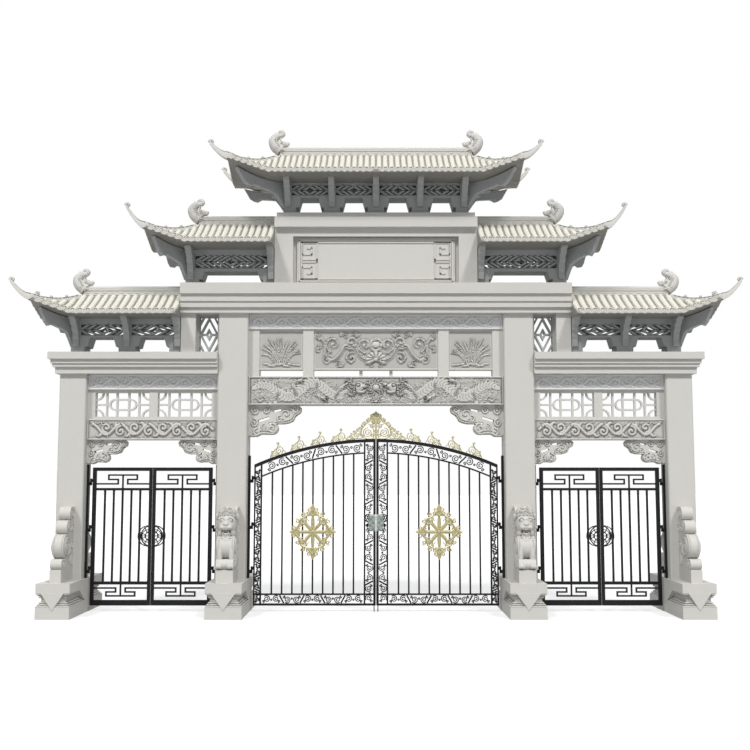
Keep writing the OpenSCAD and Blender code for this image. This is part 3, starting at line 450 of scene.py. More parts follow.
class Carving:
    """A relief over a rectangle, built up from rounded strokes."""

    def __init__(self, width, height, cell=0.0115):
        self.width, self.height, self.cell = width, height, cell
        self.x = np.linspace(0, width, max(3, round(width / cell)) + 1)
        self.z = np.linspace(0, height, max(3, round(height / cell)) + 1)
        self.relief = np.zeros((len(self.z), len(self.x)))
        # How much painted shade the flat ground of the relief gets.
        self.shade = 0.30

    def stroke(self, path, radius, rise, moat=0.0):
        """A rounded ridge along a path. A moat clears older carving beside it."""
        path = np.asarray(path, float)
        radius = np.broadcast_to(np.asarray(radius, float), (len(path),))
        for a, b, ra, rb in zip(path, path[1:], radius, radius[1:]):
            reach = max(ra, rb) + moat
            low, high = np.minimum(a, b) - reach, np.maximum(a, b) + reach
            i0, i1 = np.searchsorted(self.x, (low[0], high[0]))
            k0, k1 = np.searchsorted(self.z, (low[1], high[1]))
            if i0 >= i1 or k0 >= k1:
                continue
            x, z = self.x[None, i0:i1], self.z[k0:k1, None]
            d = b - a
            t = np.clip(((x - a[0]) * d[0] + (z - a[1]) * d[1]) / max(d @ d, 1e-12), 0, 1)
            away = np.hypot(x - a[0] - t * d[0], z - a[1] - t * d[1])
            r = ra + (rb - ra) * t
            patch = self.relief[k0:k1, i0:i1]
            if moat:
                patch[:] = np.where(away < r + moat, np.minimum(patch, 0.25 * rise), patch)
            patch[:] = np.maximum(patch, rise * np.sqrt(np.clip(1 - (away / r) ** 2, 0, 1)))

    def groove(self, path, radius, depth):
        """A rounded cut along a path."""
        mark = Carving(self.width, self.height, self.cell)
        mark.stroke(path, radius, depth)
        self.relief -= mark.relief

    def mirrored(self):
        """Adds the carving's own mirror image, left to right."""
        self.relief = np.maximum(self.relief, self.relief[:, ::-1])
        return self

    def border(self, width, rise):
        """A flat raised frame round the edge."""
        x, z = self.x[None, :], self.z[:, None]
        edge = np.minimum(np.minimum(x, self.width - x), np.minimum(z, self.height - z))
        self.relief = np.where(edge < width, rise, self.relief)

    def painted_shades(self):
        """The painted shade of each point, 0 to 1: how deep it lies under its surroundings, with the ground
        in part shade.
        """
        soft = self.relief.copy()
        for _ in range(7):
            pad = np.pad(soft, 1, mode="edge")
            soft = (pad[:-2, 1:-1] + pad[2:, 1:-1] + pad[1:-1, :-2] + pad[1:-1, 2:] + soft) / 5
        ground = np.clip(1 - self.relief / 0.008, 0, 1) * self.shade
        return np.clip((soft - self.relief) / 0.013 + ground, 0, 0.92)

    def add_to(self, shape, x0, z0, face_y, copies=FRONT_ONLY, keep=None):
        """Lays the carving on a face at depth face_y that looks to the street."""
        x = np.broadcast_to(x0 + self.x[None, :], self.relief.shape)
        z = np.broadcast_to(z0 + self.z[:, None], self.relief.shape)
        y = face_y - 0.002 - self.relief
        y[0, :] = y[-1, :] = face_y + 0.003
        y[:, 0] = y[:, -1] = face_y + 0.003
        points = np.stack([x, y, z], -1)
        faces = grid_faces(len(self.z), len(self.x), keep)
        shape.add(points, faces, copies, self.painted_shades())


def cloud(c, x, z, size, hand, rise, thick=0.16):
    """A curled cloud: two spirals and a trailing tail."""
    c.stroke(spiral(x, z, size, 1.3, math.pi / 2, hand), size * thick, rise, size * 0.08)
    c.stroke(spiral(x + hand * 1.5 * size, z - 0.25 * size, size * 0.7, 1.2, math.pi / 2, -hand),
             size * thick, rise, size * 0.08)
    tail = curve((x - hand * size, z), (x - hand * 1.5 * size, z - 0.7 * size),
                 (x - hand * 2.6 * size, z - 0.75 * size), steps=8)
    c.stroke(tail, np.linspace(size * thick, size * 0.03, len(tail)), rise * 0.8)


def flame(c, x, z, size, angle, rise):
    """A wavy tongue of flame."""
    t = np.linspace(0, 1, 9)
    side = 0.18 * size * np.sin(t * 2 * math.pi)
    path = np.stack([x + size * t * math.cos(angle) - side * math.sin(angle),
                     z + size * t * math.sin(angle) + side * math.cos(angle)], 1)
    c.stroke(path, np.linspace(size * 0.12, size * 0.02, 9), rise, size * 0.04)


def dragon(c, x0, x1, z, swing, waves, girth, rise):
    """A dragon that winds from its tail at x0 to its head at x1."""
    ahead = 1 if x1 > x0 else -1
    steps = 110
    t = np.linspace(0, 1, steps)
    x = x0 + (x1 - x0) * t
    wave = swing * np.sin(2 * math.pi * waves * t + 0.6) * (0.55 + 0.45 * np.sin(math.pi * t))
    path = np.stack([x, z + wave], 1)
    thick = girth * (0.22 + 0.78 * np.sin(math.pi * np.clip(t * 0.9 + 0.06, 0, 1)) ** 0.6)
    heading = np.gradient(path, axis=0)
    heading /= np.linalg.norm(heading, axis=1, keepdims=True)
    normal = np.stack([-heading[:, 1], heading[:, 0]], 1)
    for i in range(4, steps - 6, 3):
        fin = np.stack([path[i] + normal[i] * thick[i] * 0.8,
                        path[i] + normal[i] * thick[i] * 1.5 - heading[i] * thick[i] * 0.8])
        c.stroke(fin, [thick[i] * 0.34, thick[i] * 0.10], rise * 0.75)
    c.stroke(path, thick, rise, girth * 0.42)
    for i in range(3, steps - 4, 3):
        cut = np.stack([path[i] + normal[i] * thick[i] * 0.75,
                        path[i] + heading[i] * thick[i] * 0.5,
                        path[i] - normal[i] * thick[i] * 0.75])
        c.groove(cut, girth * 0.09, rise * 0.16)
    for share, down in ((0.24, 1), (0.42, -1), (0.62, 1), (0.80, -1)):
        i = int(share * (steps - 1))
        knee = path[i] - normal[i] * down * girth * 2.2 + heading[i] * girth * 0.9
        paw = knee + np.array([ahead * girth * 1.5, -down * girth * 0.9])
        c.stroke(curve(path[i], knee, paw, steps=6), girth * 0.36, rise * 0.9, girth * 0.18)
        for spread in (-0.7, 0.0, 0.7):
            tip = paw + girth * 1.1 * np.array([ahead * math.cos(spread), math.sin(spread)])
            c.stroke([paw, tip], [girth * 0.20, girth * 0.07], rise)
    head = path[-1]
    c.stroke([head - (ahead * girth, 0), head + (ahead * girth * 0.6, girth * 0.25)], girth * 1.15,
             rise * 1.15, girth * 0.3)
    c.stroke(curve(head + (ahead * girth * 0.6, girth * 0.35), head + (ahead * girth * 1.9, girth * 0.5),
                   head + (ahead * girth * 2.5, girth * 0.9), steps=5), girth * 0.48, rise * 1.1)
    c.stroke(curve(head + (ahead * girth * 0.3, -girth * 0.8), head + (ahead * girth * 1.4, -girth * 0.9),
                   head + (ahead * girth * 2.0, -girth * 0.4), steps=5), girth * 0.32, rise)
    c.stroke([head + (ahead * girth * 0.4, girth * 0.7), head + (ahead * girth * 0.45, girth * 0.7)],
             girth * 0.36, rise * 1.35, girth * 0.1)
    for k, lean in enumerate((2.2, 2.6, 3.0, 3.5)):
        angle = lean if ahead > 0 else math.pi - lean
        flame(c, head[0] - ahead * girth * 0.5, head[1] + girth * (0.9 - 0.6 * k), girth * 2.6, angle,
              rise * 0.8)


def vine(c, x0, x1, z, swing, period, thick, rise):
    """A running vine with a curl in each bend."""
    x = np.arange(x0, x1, 0.02)
    c.stroke(np.stack([x, z + swing * np.sin(2 * math.pi * (x - x0) / period)], 1), thick, rise)
    count = int((x1 - x0) / period * 2)
    for k in range(count):
        middle = x0 + (k + 0.5) * period / 2
        up = 1 if k % 2 == 0 else -1
        c.stroke(spiral(middle, z - up * swing * 0.35, swing * 0.95, 1.25, up * math.pi / 2, -up),
                 thick * 0.8, rise * 0.9)
        leaf = curve((middle + swing * 0.8, z + up * swing * 0.7),
                     (middle + swing * 1.4, z + up * swing * 1.25),
                     (middle + swing * 2.0, z + up * swing * 1.1), steps=5)
        c.stroke(leaf, np.linspace(thick * 1.3, thick * 0.3, len(leaf)), rise * 0.8)


# ---------------------------------------------------------------- carved beams and panels

# Each carved face: its left and right ends, its bottom and top, and its depth
MAIN_BEAM = (-2.365, 2.365, 3.780, 4.313, -0.150)
MAIN_FRIEZE = (-2.365, 2.365, 5.190, 5.475, -0.150)
MID_PANEL = (-1.135, 1.135, 4.465, 5.165, -0.090)
SMALL_PANEL = (1.382, 2.143, 4.465, 5.165, -0.090)
SIDE_BEAM = (2.915, 5.345, 3.134, 3.522, -0.120)
SIDE_FRIEZE = (2.915, 5.345, 4.061, 4.350, -0.120)


def carve(name, place, draw, copies, edge=0.0, edge_rise=0.0, finish=CARVED):
    """Carves a face of the frame and its copies, inside a raised edge if it has one."""
    x0, x1, z0, z1, y = place
    c = Carving(x1 - x0, z1 - z0)
    draw(c)
    if edge:
        c.border(edge, edge_rise)
    shape = Shape()
    c.add_to(shape, x0, z0, y, copies)
    shape.piece(name, "frame", finish, "carved_granite", 60)


def beam_dragons(c):
    """Two long dragons that face a pearl, among clouds and flames."""
    rng = random.Random(5)
    half = c.width / 2
    for _ in range(60):
        x, z = rng.uniform(0.06, half - 0.1), rng.uniform(0.06, c.height - 0.05)
        cloud(c, x, z, rng.uniform(0.040, 0.062), rng.choice((-1, 1)), rng.uniform(0.014, 0.022))
    for _ in range(44):
        flame(c, rng.uniform(0.08, half - 0.1), rng.uniform(0.07, c.height - 0.07), rng.uniform(0.10, 0.17),
              rng.uniform(-0.5, 0.9) + rng.choice((0, math.pi)), rng.uniform(0.016, 0.026))
    dragon(c, 0.10, half - 0.36, c.height * 0.50, 0.140, 2.0, 0.080, 0.064)
    c.mirrored()
    c.stroke([(half, c.height * 0.60), (half + 0.001, c.height * 0.60)], 0.062, 0.055, 0.03)
    for k in range(13):
        angle = math.pi * (-0.35 + 1.7 * k / 12)
        flame(c, half + 0.08 * math.cos(angle), c.height * 0.60 + 0.08 * math.sin(angle), 0.13, angle,
              0.036)
    for side in (-1, 1):
        cloud(c, half + side * 0.10, c.height * 0.20, 0.065, side, 0.036)


def leaf_scroll(c, x, z, size, start, hand, rise):
    """A big curling leaf: a thick tapering spiral with a midrib and lobes on its outside."""
    path = spiral(x, z, size, 1.25, start, hand, 40)
    c.stroke(path, np.linspace(size * 0.10, size * 0.19, 40), rise, 0.012)
    c.stroke(path, size * 0.035, rise * 1.25)
    for k in range(2, 22, 4):
        out = path[k] - (x, z)
        way = math.atan2(out[1], out[0]) - hand * 0.9
        flame(c, path[k][0], path[k][1], size * 0.50, way, rise * 0.85)


def ribbons(c):
    """Broad leaf scrolls that run out from a flower in the middle."""
    w, h = c.width, c.height
    stem = curve((0.49 * w, 0.30 * h), (0.43 * w, 0.24 * h), (0.375 * w, 0.32 * h), (0.32 * w, 0.58 * h),
                 (0.25 * w, 0.60 * h), (0.20 * w, 0.36 * h), (0.14 * w, 0.22 * h), (0.085 * w, 0.34 * h),
                 (0.085 * w, 0.62 * h), (0.035 * w, 0.86 * h))
    c.stroke(stem, np.linspace(0.050, 0.022, len(stem)), 0.036, 0.012)
    c.stroke(stem, np.linspace(0.014, 0.008, len(stem)), 0.046)
    leaf_scroll(c, 0.150 * w, 0.64 * h, 0.150, -1.9, -1, 0.038)
    leaf_scroll(c, 0.295 * w, 0.70 * h, 0.135, -2.4, 1, 0.036)
    leaf_scroll(c, 0.300 * w, 0.27 * h, 0.110, 1.2, 1, 0.036)
    leaf_scroll(c, 0.410 * w, 0.62 * h, 0.145, -1.6, -1, 0.038)
    leaf_scroll(c, 0.100 * w, 0.22 * h, 0.095, 0.6, 1, 0.034)
    for x, z, angle in ((0.05, 0.80, 2.6), (0.21, 0.88, 0.4), (0.36, 0.90, 2.8), (0.42, 0.12, 0.3),
                        (0.23, 0.12, 3.3), (0.03, 0.45, 1.8)):
        for fan in (-0.55, 0, 0.55):
            flame(c, x * w, z * h, 0.14, angle + fan, 0.032)
    c.mirrored()
    c.stroke(spiral(w / 2, 0.63 * h, 0.115, 1.0, 0, 1, 30, 0.85), 0.024, 0.042, 0.012)
    c.stroke([(w / 2 - 0.02, 0.63 * h), (w / 2 + 0.02, 0.63 * h)], 0.060, 0.038)
    for k in range(9):
        angle = math.pi * (-0.16 + 1.32 * k / 8)
        petal = [(w / 2, 0.24 * h), (w / 2 + 0.16 * math.cos(angle), 0.24 * h + 0.12 * math.sin(angle))]
        c.stroke(petal, [0.014, 0.034], 0.042, 0.005)
    c.stroke([(w / 2 - 0.001, 0.24 * h), (w / 2, 0.24 * h)], 0.038, 0.050)


def long_grass(c):
    """A clump of long leaves that fan up from a strip of ground."""
    rng = random.Random(11)
    w, h = c.width, c.height
    for lean in np.linspace(-1, 1, 19):
        lean += rng.uniform(-0.08, 0.08)
        length = h * rng.uniform(0.62, 0.86) * (1 - 0.22 * abs(lean))
        root = (w * 0.52 + 0.09 * lean, 0.14 * h)
        middle = (root[0] + 0.45 * length * math.sin(lean * 0.7),
                  root[1] + 0.50 * length * math.cos(lean * 0.7))
        tip_way = lean * 1.35
        tip = (middle[0] + 0.42 * length * math.sin(tip_way),
               middle[1] + 0.42 * length * math.cos(tip_way))
        leaf = curve(root, middle, tip, steps=9)
        thick = 0.005 + 0.011 * np.sin(math.pi * np.linspace(0.15, 1, len(leaf)))
        c.stroke(leaf, thick, rng.uniform(0.022, 0.032), 0.005)
    for k in range(7):
        x = w * (0.14 + 0.12 * k)
        z = (0.085 + 0.025 * math.sin(2.3 * k)) * h
        c.stroke([(x - 0.06, z), (x + 0.05, z + 0.008)], 0.014, 0.022)
    for k in range(6):
        x = w * (0.42 + 0.04 * k)
        c.stroke([(x, 0.12 * h), (x + 0.012 * (k - 2), 0.22 * h)], [0.016, 0.006], 0.030)


def frieze_vine(c):
    """A low running vine."""
    c.shade = 0.04
    vine(c, 0.08, c.width - 0.08, c.height / 2, c.height * 0.24, c.height * 1.55, c.height * 0.075,
         0.017)


def side_scrolls(c):
    """A bold running scroll with leaves between its turns."""
    c.shade = 0.16
    vine(c, 0.10, c.width - 0.10, c.height / 2, c.height * 0.25, c.height * 1.35, c.height * 0.070,
         0.036)
    rng = random.Random(3)
    for _ in range(46):
        x, z = rng.uniform(0.1, c.width - 0.1), rng.choice((0.17, 0.83)) * c.height
        flame(c, x, z, 0.08, rng.uniform(0, 6.28), 0.026)


carve("beam_carving", MAIN_BEAM, beam_dragons, BOTH_FACES, 0.032, 0.020)
carve("frieze_carving", MAIN_FRIEZE, frieze_vine, BOTH_FACES, 0.024, 0.010, LIT_FRIEZE_GRANITE)
carve("mid_panel_carving", MID_PANEL, ribbons, BOTH_FACES)
carve("grass_carving", SMALL_PANEL, long_grass, ALL_FOUR)
carve("side_beam_carving", SIDE_BEAM, side_scrolls, ALL_FOUR, 0.030, 0.016)
carve("side_frieze_carving", SIDE_FRIEZE, frieze_vine, ALL_FOUR, 0.024, 0.010, LIT_FRIEZE_GRANITE)

# ---------------------------------------------------------------- cloud brackets

# The swirls of a bracket a metre long: place, size, turns and hand of each
SWIRLS = [(0.885, -0.085, 0.062, 1.3, 1), (0.700, -0.165, 0.150, 1.6, -1),
          (0.130, -0.100, 0.085, 1.4, 1), (0.330, -0.090, 0.075, 1.3, -1),
          (0.585, -0.250, 0.060, 1.1, 1), (0.440, -0.430, 0.095, 1.5, -1),
          (0.100, -0.330, 0.080, 1.4, -1), (0.160, -0.500, 0.070, 1.3, 1),
          (0.290, -0.400, 0.055, 1.2, 1)]
BRACKET_RIM = [(0.02, -0.560), (0.15, -0.565), (0.24, -0.520), (0.36, -0.520), (0.46, -0.525),
               (0.54, -0.440), (0.50, -0.345), (0.66, -0.330), (0.80, -0.290), (0.865, -0.190),
               (0.95, -0.130), (0.965, -0.060)]
BRACKET_TALL = 0.6
LOWEST_RELIEF = 0.0015

# Each bracket: the column face it grows from, the way it reaches, its top, length and face
BRACKETS = [(2.365, -1, 3.780, 1.0, 0.070), (2.915, 1, 3.134, 0.751, 0.060),
            (5.345, -1, 3.134, 0.751, 0.060)]


def bracket_swirls(shape, column, way, top, scale, face):
    """Cloud swirls on both faces of a bracket and its copies."""
    c = Carving(scale, BRACKET_TALL * scale, 0.009)

    def place(x, z):
        return x * scale, (z + BRACKET_TALL) * scale

    for x, z, size, turns, hand in SWIRLS:
        cx, cz = place(x, z)
        c.stroke(spiral(cx, cz, size * scale, turns, math.pi / 2, hand, 34), 0.017 * scale, 0.024)
    for run in (BRACKET_RIM, [(x * 0.96, z * 0.90) for x, z in BRACKET_RIM[1:]]):
        c.stroke(curve(*[place(x, z) for x, z in run], steps=8), 0.013 * scale, 0.020)
    keep = c.relief > LOWEST_RELIEF
    keep[:-1, :-1] = keep[:-1, :-1] | keep[1:, :-1] | keep[:-1, 1:] | keep[1:, 1:]
    c.relief = np.where(c.relief < LOWEST_RELIEF, -0.006, c.relief)
    if way < 0:
        c.relief = c.relief[:, ::-1]
        keep = np.roll(keep[:, ::-1], -1, axis=1)
    x0 = column if way > 0 else column - c.width
    c.add_to(shape, x0, top - BRACKET_TALL * scale, -face, ALL_FOUR, keep)


def all_bracket_swirls():
    """The swirls of every bracket, as one piece."""
    shape = Shape()
    for bracket in BRACKETS:
        bracket_swirls(shape, *bracket)
    shape.piece("bracket_clouds", "frame", CARVED, "carved_granite", 60)


all_bracket_swirls()

# ---------------------------------------------------------------- plaque


PLAQUE_X = 1.475
PLAQUE_LOW = 6.05
PLAQUE_HIGH = 6.91
PLAQUE_FACE = 0.190
FRET_RISE = 0.018
FRET_LINE = 0.026
FRET_IN = 0.10

# One square fret, from its outer foot inwards and up, and the feet of the upper and lower one
FRET = [(0, 0), (0.27, 0), (0.27, 0.32), (0.0, 0.32), (0.0, 0.10), (0.17, 0.10), (0.17, 0.215),
        (0.09, 0.215)]
FRET_FEET = ((PLAQUE_LOW + 0.455, 1), (PLAQUE_LOW + 0.405, -1))


def plaque_frets():
    """Two thin frame lines and square frets at the two ends of the blank plaque."""
    shape = Shape()
    x1, z0, z1, line = PLAQUE_X, PLAQUE_LOW, PLAQUE_HIGH, FRET_LINE
    depth = (-PLAQUE_FACE - FRET_RISE, -PLAQUE_FACE + 0.004)
    for inset in (0.030, 0.070):
        wide = (-x1 + inset, x1 - inset)
        shape.add(*bar(wide, depth, (z0 + inset, z0 + inset + line), 0.004), BOTH_FACES)
        shape.add(*bar(wide, depth, (z1 - inset - line, z1 - inset), 0.004), BOTH_FACES)
        shape.add(*bar((x1 - inset - line, x1 - inset), depth, (z0 + inset, z1 - inset)), ALL_FOUR)
    for foot, up in FRET_FEET:
        corners = [(x1 - FRET_IN - x, foot + up * z) for x, z in FRET]
        for a, b in zip(corners, corners[1:]):
            span_x, span_z = [(min(p, q) - line / 2, max(p, q) + line / 2) for p, q in zip(a, b)]
            shape.add(*bar(span_x, depth, span_z), ALL_FOUR)
    shape.piece("plaque_frets", "frame", CARVED, "carved_granite")


plaque_frets()

# ---------------------------------------------------------------- drum stones and lions

INNER_DRUM = {"x": 2.64, "face": 0.275, "half": 0.150}
OUTER_DRUM = {"x": 5.59, "face": 0.245, "half": 0.100}
DRUM_OUT = 0.435
DRUM_Z = 1.228
RIB_R = 0.212

# The scrolls on a drum stone's side: how far out, height, size, turns and hand of each
DRUM_SWIRLS = [(0.130, 1.800, 0.090, 1.5, 1), (0.300, 1.560, 0.095, 1.6, -1),
               (0.100, 1.540, 0.080, 1.4, 1), (0.580, 0.930, 0.075, 1.4, 1),
               (0.130, 0.950, 0.090, 1.3, -1), (0.120, 1.240, 0.080, 1.3, 1)]


def sideways(path, x):
    """An (outward, z) path set up on a drum stone's side. Outward runs to the street."""
    path = np.asarray(path, float)
    return np.stack([np.full(len(path), x), -path[:, 0], path[:, 1]], 1)


def drum_carving(shape, drum):
    """Scrolls, ring and swirl on both sides of a drum stone, and studs round its edge."""
    centre, half, face = drum["x"], drum["half"], drum["face"]
    for side in (-1, 1):
        x = centre + side * (half + 0.002)
        for out, z, size, turns, hand in DRUM_SWIRLS:
            path = spiral(face + out, z, size, turns, math.pi / 2, hand, 30)
            shape.add(*tube(sideways(path, x), 0.016, 6, 0.8, (1, 0, 0)), ALL_FOUR)
        disc_x = centre + side * (half + 0.014)
        ring = spiral(face + DRUM_OUT, DRUM_Z, 0.145, 1.0, 0, 1, 40, 1.0)
        shape.add(*tube(sideways(ring, disc_x), 0.016, 6, 1, (1, 0, 0)), ALL_FOUR)
        for k in range(3):
            arm = spiral(face + DRUM_OUT, DRUM_Z, 0.115, 0.55, 2 * math.pi * k / 3, 1, 16, 0.1)
            thick = np.linspace(0.012, 0.028, 16)
            shape.add(*tube(sideways(arm, disc_x), thick, 6, 0.7, (1, 0, 0)), ALL_FOUR)
    for angle in np.linspace(-0.9, 1.4, 22):
        y = -(face + DRUM_OUT + RIB_R * math.cos(angle))
        for side in (-1, 1):
            stud = (centre + side * (half - 0.03), y, DRUM_Z + RIB_R * math.sin(angle))
            shape.add(*ball(stud, (0.014, 0.014, 0.014), 4, 6), ALL_FOUR)


def curl(shape, x, y, z, size, copies, hand=1):
    """One snail curl of a mane, facing the street."""
    coil = upright(spiral(x, z, size, 1.5, math.pi / 2, hand, 20), y)
    coil[:, 1] -= np.linspace(0, size * 0.5, len(coil))
    shape.add(*tube(coil, size * 0.24, 6), copies)


LION_OUT = 0.455

# Rounded masses of a lion: how far aside, how far forward, height, and half sizes
LION_MIDDLE = [(0, -0.020, 1.620, (0.172, 0.175, 0.200)), (0, 0.090, 1.585, (0.120, 0.105, 0.085)),
               (0, 0.165, 1.630, (0.055, 0.045, 0.038)), (0, 0.085, 1.455, (0.085, 0.085, 0.036)),
               (0, 0.080, 1.285, (0.115, 0.095, 0.185)), (0, -0.100, 1.800, (0.165, 0.130, 0.135))]
LION_PAIRS = [(0.062, 0.145, 1.570, (0.058, 0.060, 0.044)), (0.075, 0.112, 1.692, (0.034, 0.032, 0.032)),
              (0.172, -0.030, 1.745, (0.038, 0.055, 0.060)), (0.105, 0.020, 1.460, (0.055, 0.100, 0.060)),
              (0.105, 0.145, 1.115, (0.052, 0.060, 0.210)), (0.105, 0.215, 0.905, (0.062, 0.090, 0.052)),
              (0.150, -0.060, 1.020, (0.045, 0.160, 0.190))]
LION_TOES = [(0.105 + toe * 0.036, 0.285, 0.893, (0.020, 0.034, 0.034)) for toe in (-1, 0, 1)]

# Rows of a lion's mane: height, curls, half spread, and how far forward
LION_MANE = [(1.905, 4, 0.105, 0.0), (1.850, 5, 0.145, 0.035), (1.790, 6, 0.165, 0.085),
             (1.600, 2, 0.185, 0.02), (1.530, 2, 0.175, 0.03), (1.455, 2, 0.160, 0.04)]


def lion(shape, drum):
    """A seated guardian lion on the street end of a middle drum stone."""
    x, front = drum["x"], -(drum["face"] + LION_OUT)
    pairs = [(s * aside, *rest) for aside, *rest in LION_PAIRS + LION_TOES for s in (-1, 1)]
    for aside, forward, z, size in LION_MIDDLE + pairs:
        shape.add(*ball((x + aside, front - forward, z), size, 10, 16), ALL_FOUR)
    for s in (-1, 1):
        brow = curve((x + s * 0.02, 1.70), (x + s * 0.07, 1.745), (x + s * 0.135, 1.715), steps=6)
        shape.add(*tube(upright(brow, front - 0.125), 0.021, 8), ALL_FOUR)
    for z, count, spread, forward in LION_MANE:
        for k, share in enumerate(np.linspace(-1, 1, count)):
            y = front - forward + 0.07 * share ** 2
            curl(shape, x + spread * share, y, z - 0.03 * abs(share), 0.040, ALL_FOUR, 1 if k % 2 else -1)
    for share in np.linspace(-1, 1, 5):
        tuft = curve((x + 0.05 * share, 1.44), (x + 0.075 * share, 1.38), (x + 0.06 * share, 1.33), steps=5)
        thick = np.linspace(0.018, 0.007, len(tuft))
        shape.add(*tube(upright(tuft, front - 0.15 + 0.03 * abs(share)), thick, 6), ALL_FOUR)
    for z in np.linspace(1.22, 1.38, 4):
        band = curve((x - 0.09, z + 0.02), (x, z - 0.015), (x + 0.09, z + 0.02), steps=6)
        shape.add(*tube(upright(band, front - 0.163 + 0.25 * abs(z - 1.29)), 0.010, 6), ALL_FOUR)


def lion_mouth():
    """The open mouth, a sunk bowl painted full dark for its shade, with two rows of teeth."""
    shape = Shape()
    x, y = INNER_DRUM["x"], -(INNER_DRUM["face"] + LION_OUT) - 0.125
    points, faces = ball((x, y, 1.505), (0.082, 0.055, 0.040), 8, 14)
    # Painted shade: the whole bowl is darkened to the shade colour.
    shape.add(points, faces, ALL_FOUR, np.ones(len(points)))
    for s in (-1, 1):
        for z in (1.535, 1.478):
            shape.add(*ball((x + s * 0.045, y - 0.045, z), (0.010, 0.010, 0.018), 4, 6), ALL_FOUR)
    for across in np.linspace(-0.026, 0.026, 5):
        shape.add(*ball((x + across, y - 0.052, 1.535), (0.006, 0.006, 0.009), 4, 6), ALL_FOUR)
    shape.piece("lion_mouths", "frame", CARVED, "carved_granite")


def stone_guards():
    """The carving on the drum stones, and the lions."""
    for name, drum in (("outer_drum_scrolls", OUTER_DRUM), ("inner_drum_scrolls", INNER_DRUM)):
        shape = Shape()
        drum_carving(shape, drum)
        shape.piece(name, "frame", CARVED, "carved_granite")
    shape = Shape()
    lion(shape, INNER_DRUM)
    shape.piece("lions", "frame", CARVED, "carved_granite", 60)
    lion_mouth()


# Each pedestal's column line and half width
PEDESTALS = ((5.59, 0.295), (2.64, 0.320))
PEDESTAL_Y = 1.100
PLINTH_TOP = 0.210
SLAB_FOOT = 0.450

# Beads round a pedestal: distance from the plinth or the slab, inset from its face, and radius
BEADS = [(PLINTH_TOP + 0.012, 0.012, 0.012), (PLINTH_TOP + 0.040, 0.036, 0.013),
         (PLINTH_TOP + 0.072, 0.058, 0.011), (SLAB_FOOT - 0.012, 0.014, 0.012),
         (SLAB_FOOT - 0.042, 0.038, 0.013), (SLAB_FOOT - 0.074, 0.058, 0.011)]


def pedestal_mouldings():
    """Beads that run round each pedestal above its plinth and under its slab."""
    shape = Shape()
    for x, half in PEDESTALS:
        for z, inset, radius in BEADS:
            a, b = half - inset, PEDESTAL_Y - inset
            for s in (-1, 1):
                side = [(x + s * a, -b, z), (x + s * a, 0.001, z)]
                shape.add(*tube(side, radius, 8, 1, (1, 0, 0)), ALL_FOUR)
            shape.add(*tube([(x - a, -b, z), (x + a, -b, z)], radius, 8), ALL_FOUR)
    shape.piece("pedestal_mouldings", "frame", GRANITE, "grey_granite")


stone_guards()
pedestal_mouldings()

# ---------------------------------------------------------------- roofs

RIDGE_W = 0.130
RIDGE_H = 0.165
EAVE_T = 0.052
HIP_H = 0.080
LIFT = 0.270
LIFT_RUN = 0.750
HIP_START = 0.14
HIP_INSET = 0.060
HIP_GAP = 0.045


class Roof:
    """One roof's sizes and the height of its tiles. Every roof is drawn towards +X and -Y."""

    def __init__(self, name, inner, ridge_end, eave_end, deep, soffit, rise, horn_out, horn_rise,
                 pitch):
        self.name = name
        self.inner, self.ridge_end, self.eave_end = inner, ridge_end, eave_end
        self.deep, self.soffit, self.rise = deep, soffit, rise
        self.horn_out, self.horn_rise, self.pitch = horn_out, horn_rise, pitch
        self.ridge_z = soffit + EAVE_T + rise

    def lift(self, x, y):
        """How far the turned-up corner raises the tiles."""
        def ramp(distance):
            return np.clip(distance / LIFT_RUN, 0, 1)
        return LIFT * ramp(np.abs(x) - self.eave_end + LIFT_RUN) * ramp(np.abs(y) - self.deep + LIFT_RUN)

    def tiles_z(self, x, y):
        """Height of the tile bed over a place."""
        down = np.maximum((np.abs(y) - RIDGE_W / 2) / (self.deep - RIDGE_W / 2),
                          (np.abs(x) - self.ridge_end) / (self.eave_end - self.ridge_end))
        down = np.clip(down, 0, 1)
        return self.soffit + EAVE_T + self.rise * (1 - down) ** 1.2 + self.lift(x, y)


ROOFS = [
    Roof("low", 3.61, 5.49, 6.272, 0.78, 5.389, 0.386, 0.368, 0.36, 0.1385),
    Roof("mid", 1.89, 3.35, 4.215, 0.84, 6.693, 0.430, 0.340, 0.42, 0.1215),
    Roof("top", 0.0, 1.83, 2.70, 0.92, 7.967, 0.497, 0.335, 0.305, 0.1145),
]
TILE_LENGTH = 0.175

# The rings of a round tile end: share of its radius, how far out, and how much painted shade darkens it
DISC_RINGS = [(1.0, -0.01, 0), (1.0, 0.020, 0), (0.80, 0.024, 0), (0.68, 0.012, 0.7), (0.36, 0.012, 0.5),
              (0.28, 0.022, 0)]
DISC_SIDES = 14


def tile_row(shape, start, end, roof, radius, copies):
    """A row of half-round cover tiles from start down to end, each lapping the next."""
    start, end = np.asarray(start, float), np.asarray(end, float)
    length = np.linalg.norm(end - start)
    if length < 0.06:
        return
    count = max(1, round(length / TILE_LENGTH))
    along = (end - start) / length
    side = np.array([-along[1], along[0]])
    rings = []
    for k in range(count):
        for share, swell in ((k / count, 0.86), ((k + 0.98) / count, 1.0)):
            middle = start + (end - start) * share
            base = roof.tiles_z(middle[0], middle[1])
            for angle in np.linspace(-0.25, math.pi + 0.25, 8):
                across = radius * swell * math.cos(angle)
                rings.append((middle[0] + side[0] * across, middle[1] + side[1] * across,
                              base + radius * swell * math.sin(angle) * 0.92))
    faces = grid_faces(2 * count, 8)
    last = len(rings) - 8
    faces += [tuple(range(8))[::-1], tuple(range(last, last + 8))]
    shape.add(rings, faces, copies)
    eave_disc(shape, end, along, side, roof, radius * 0.96, copies)


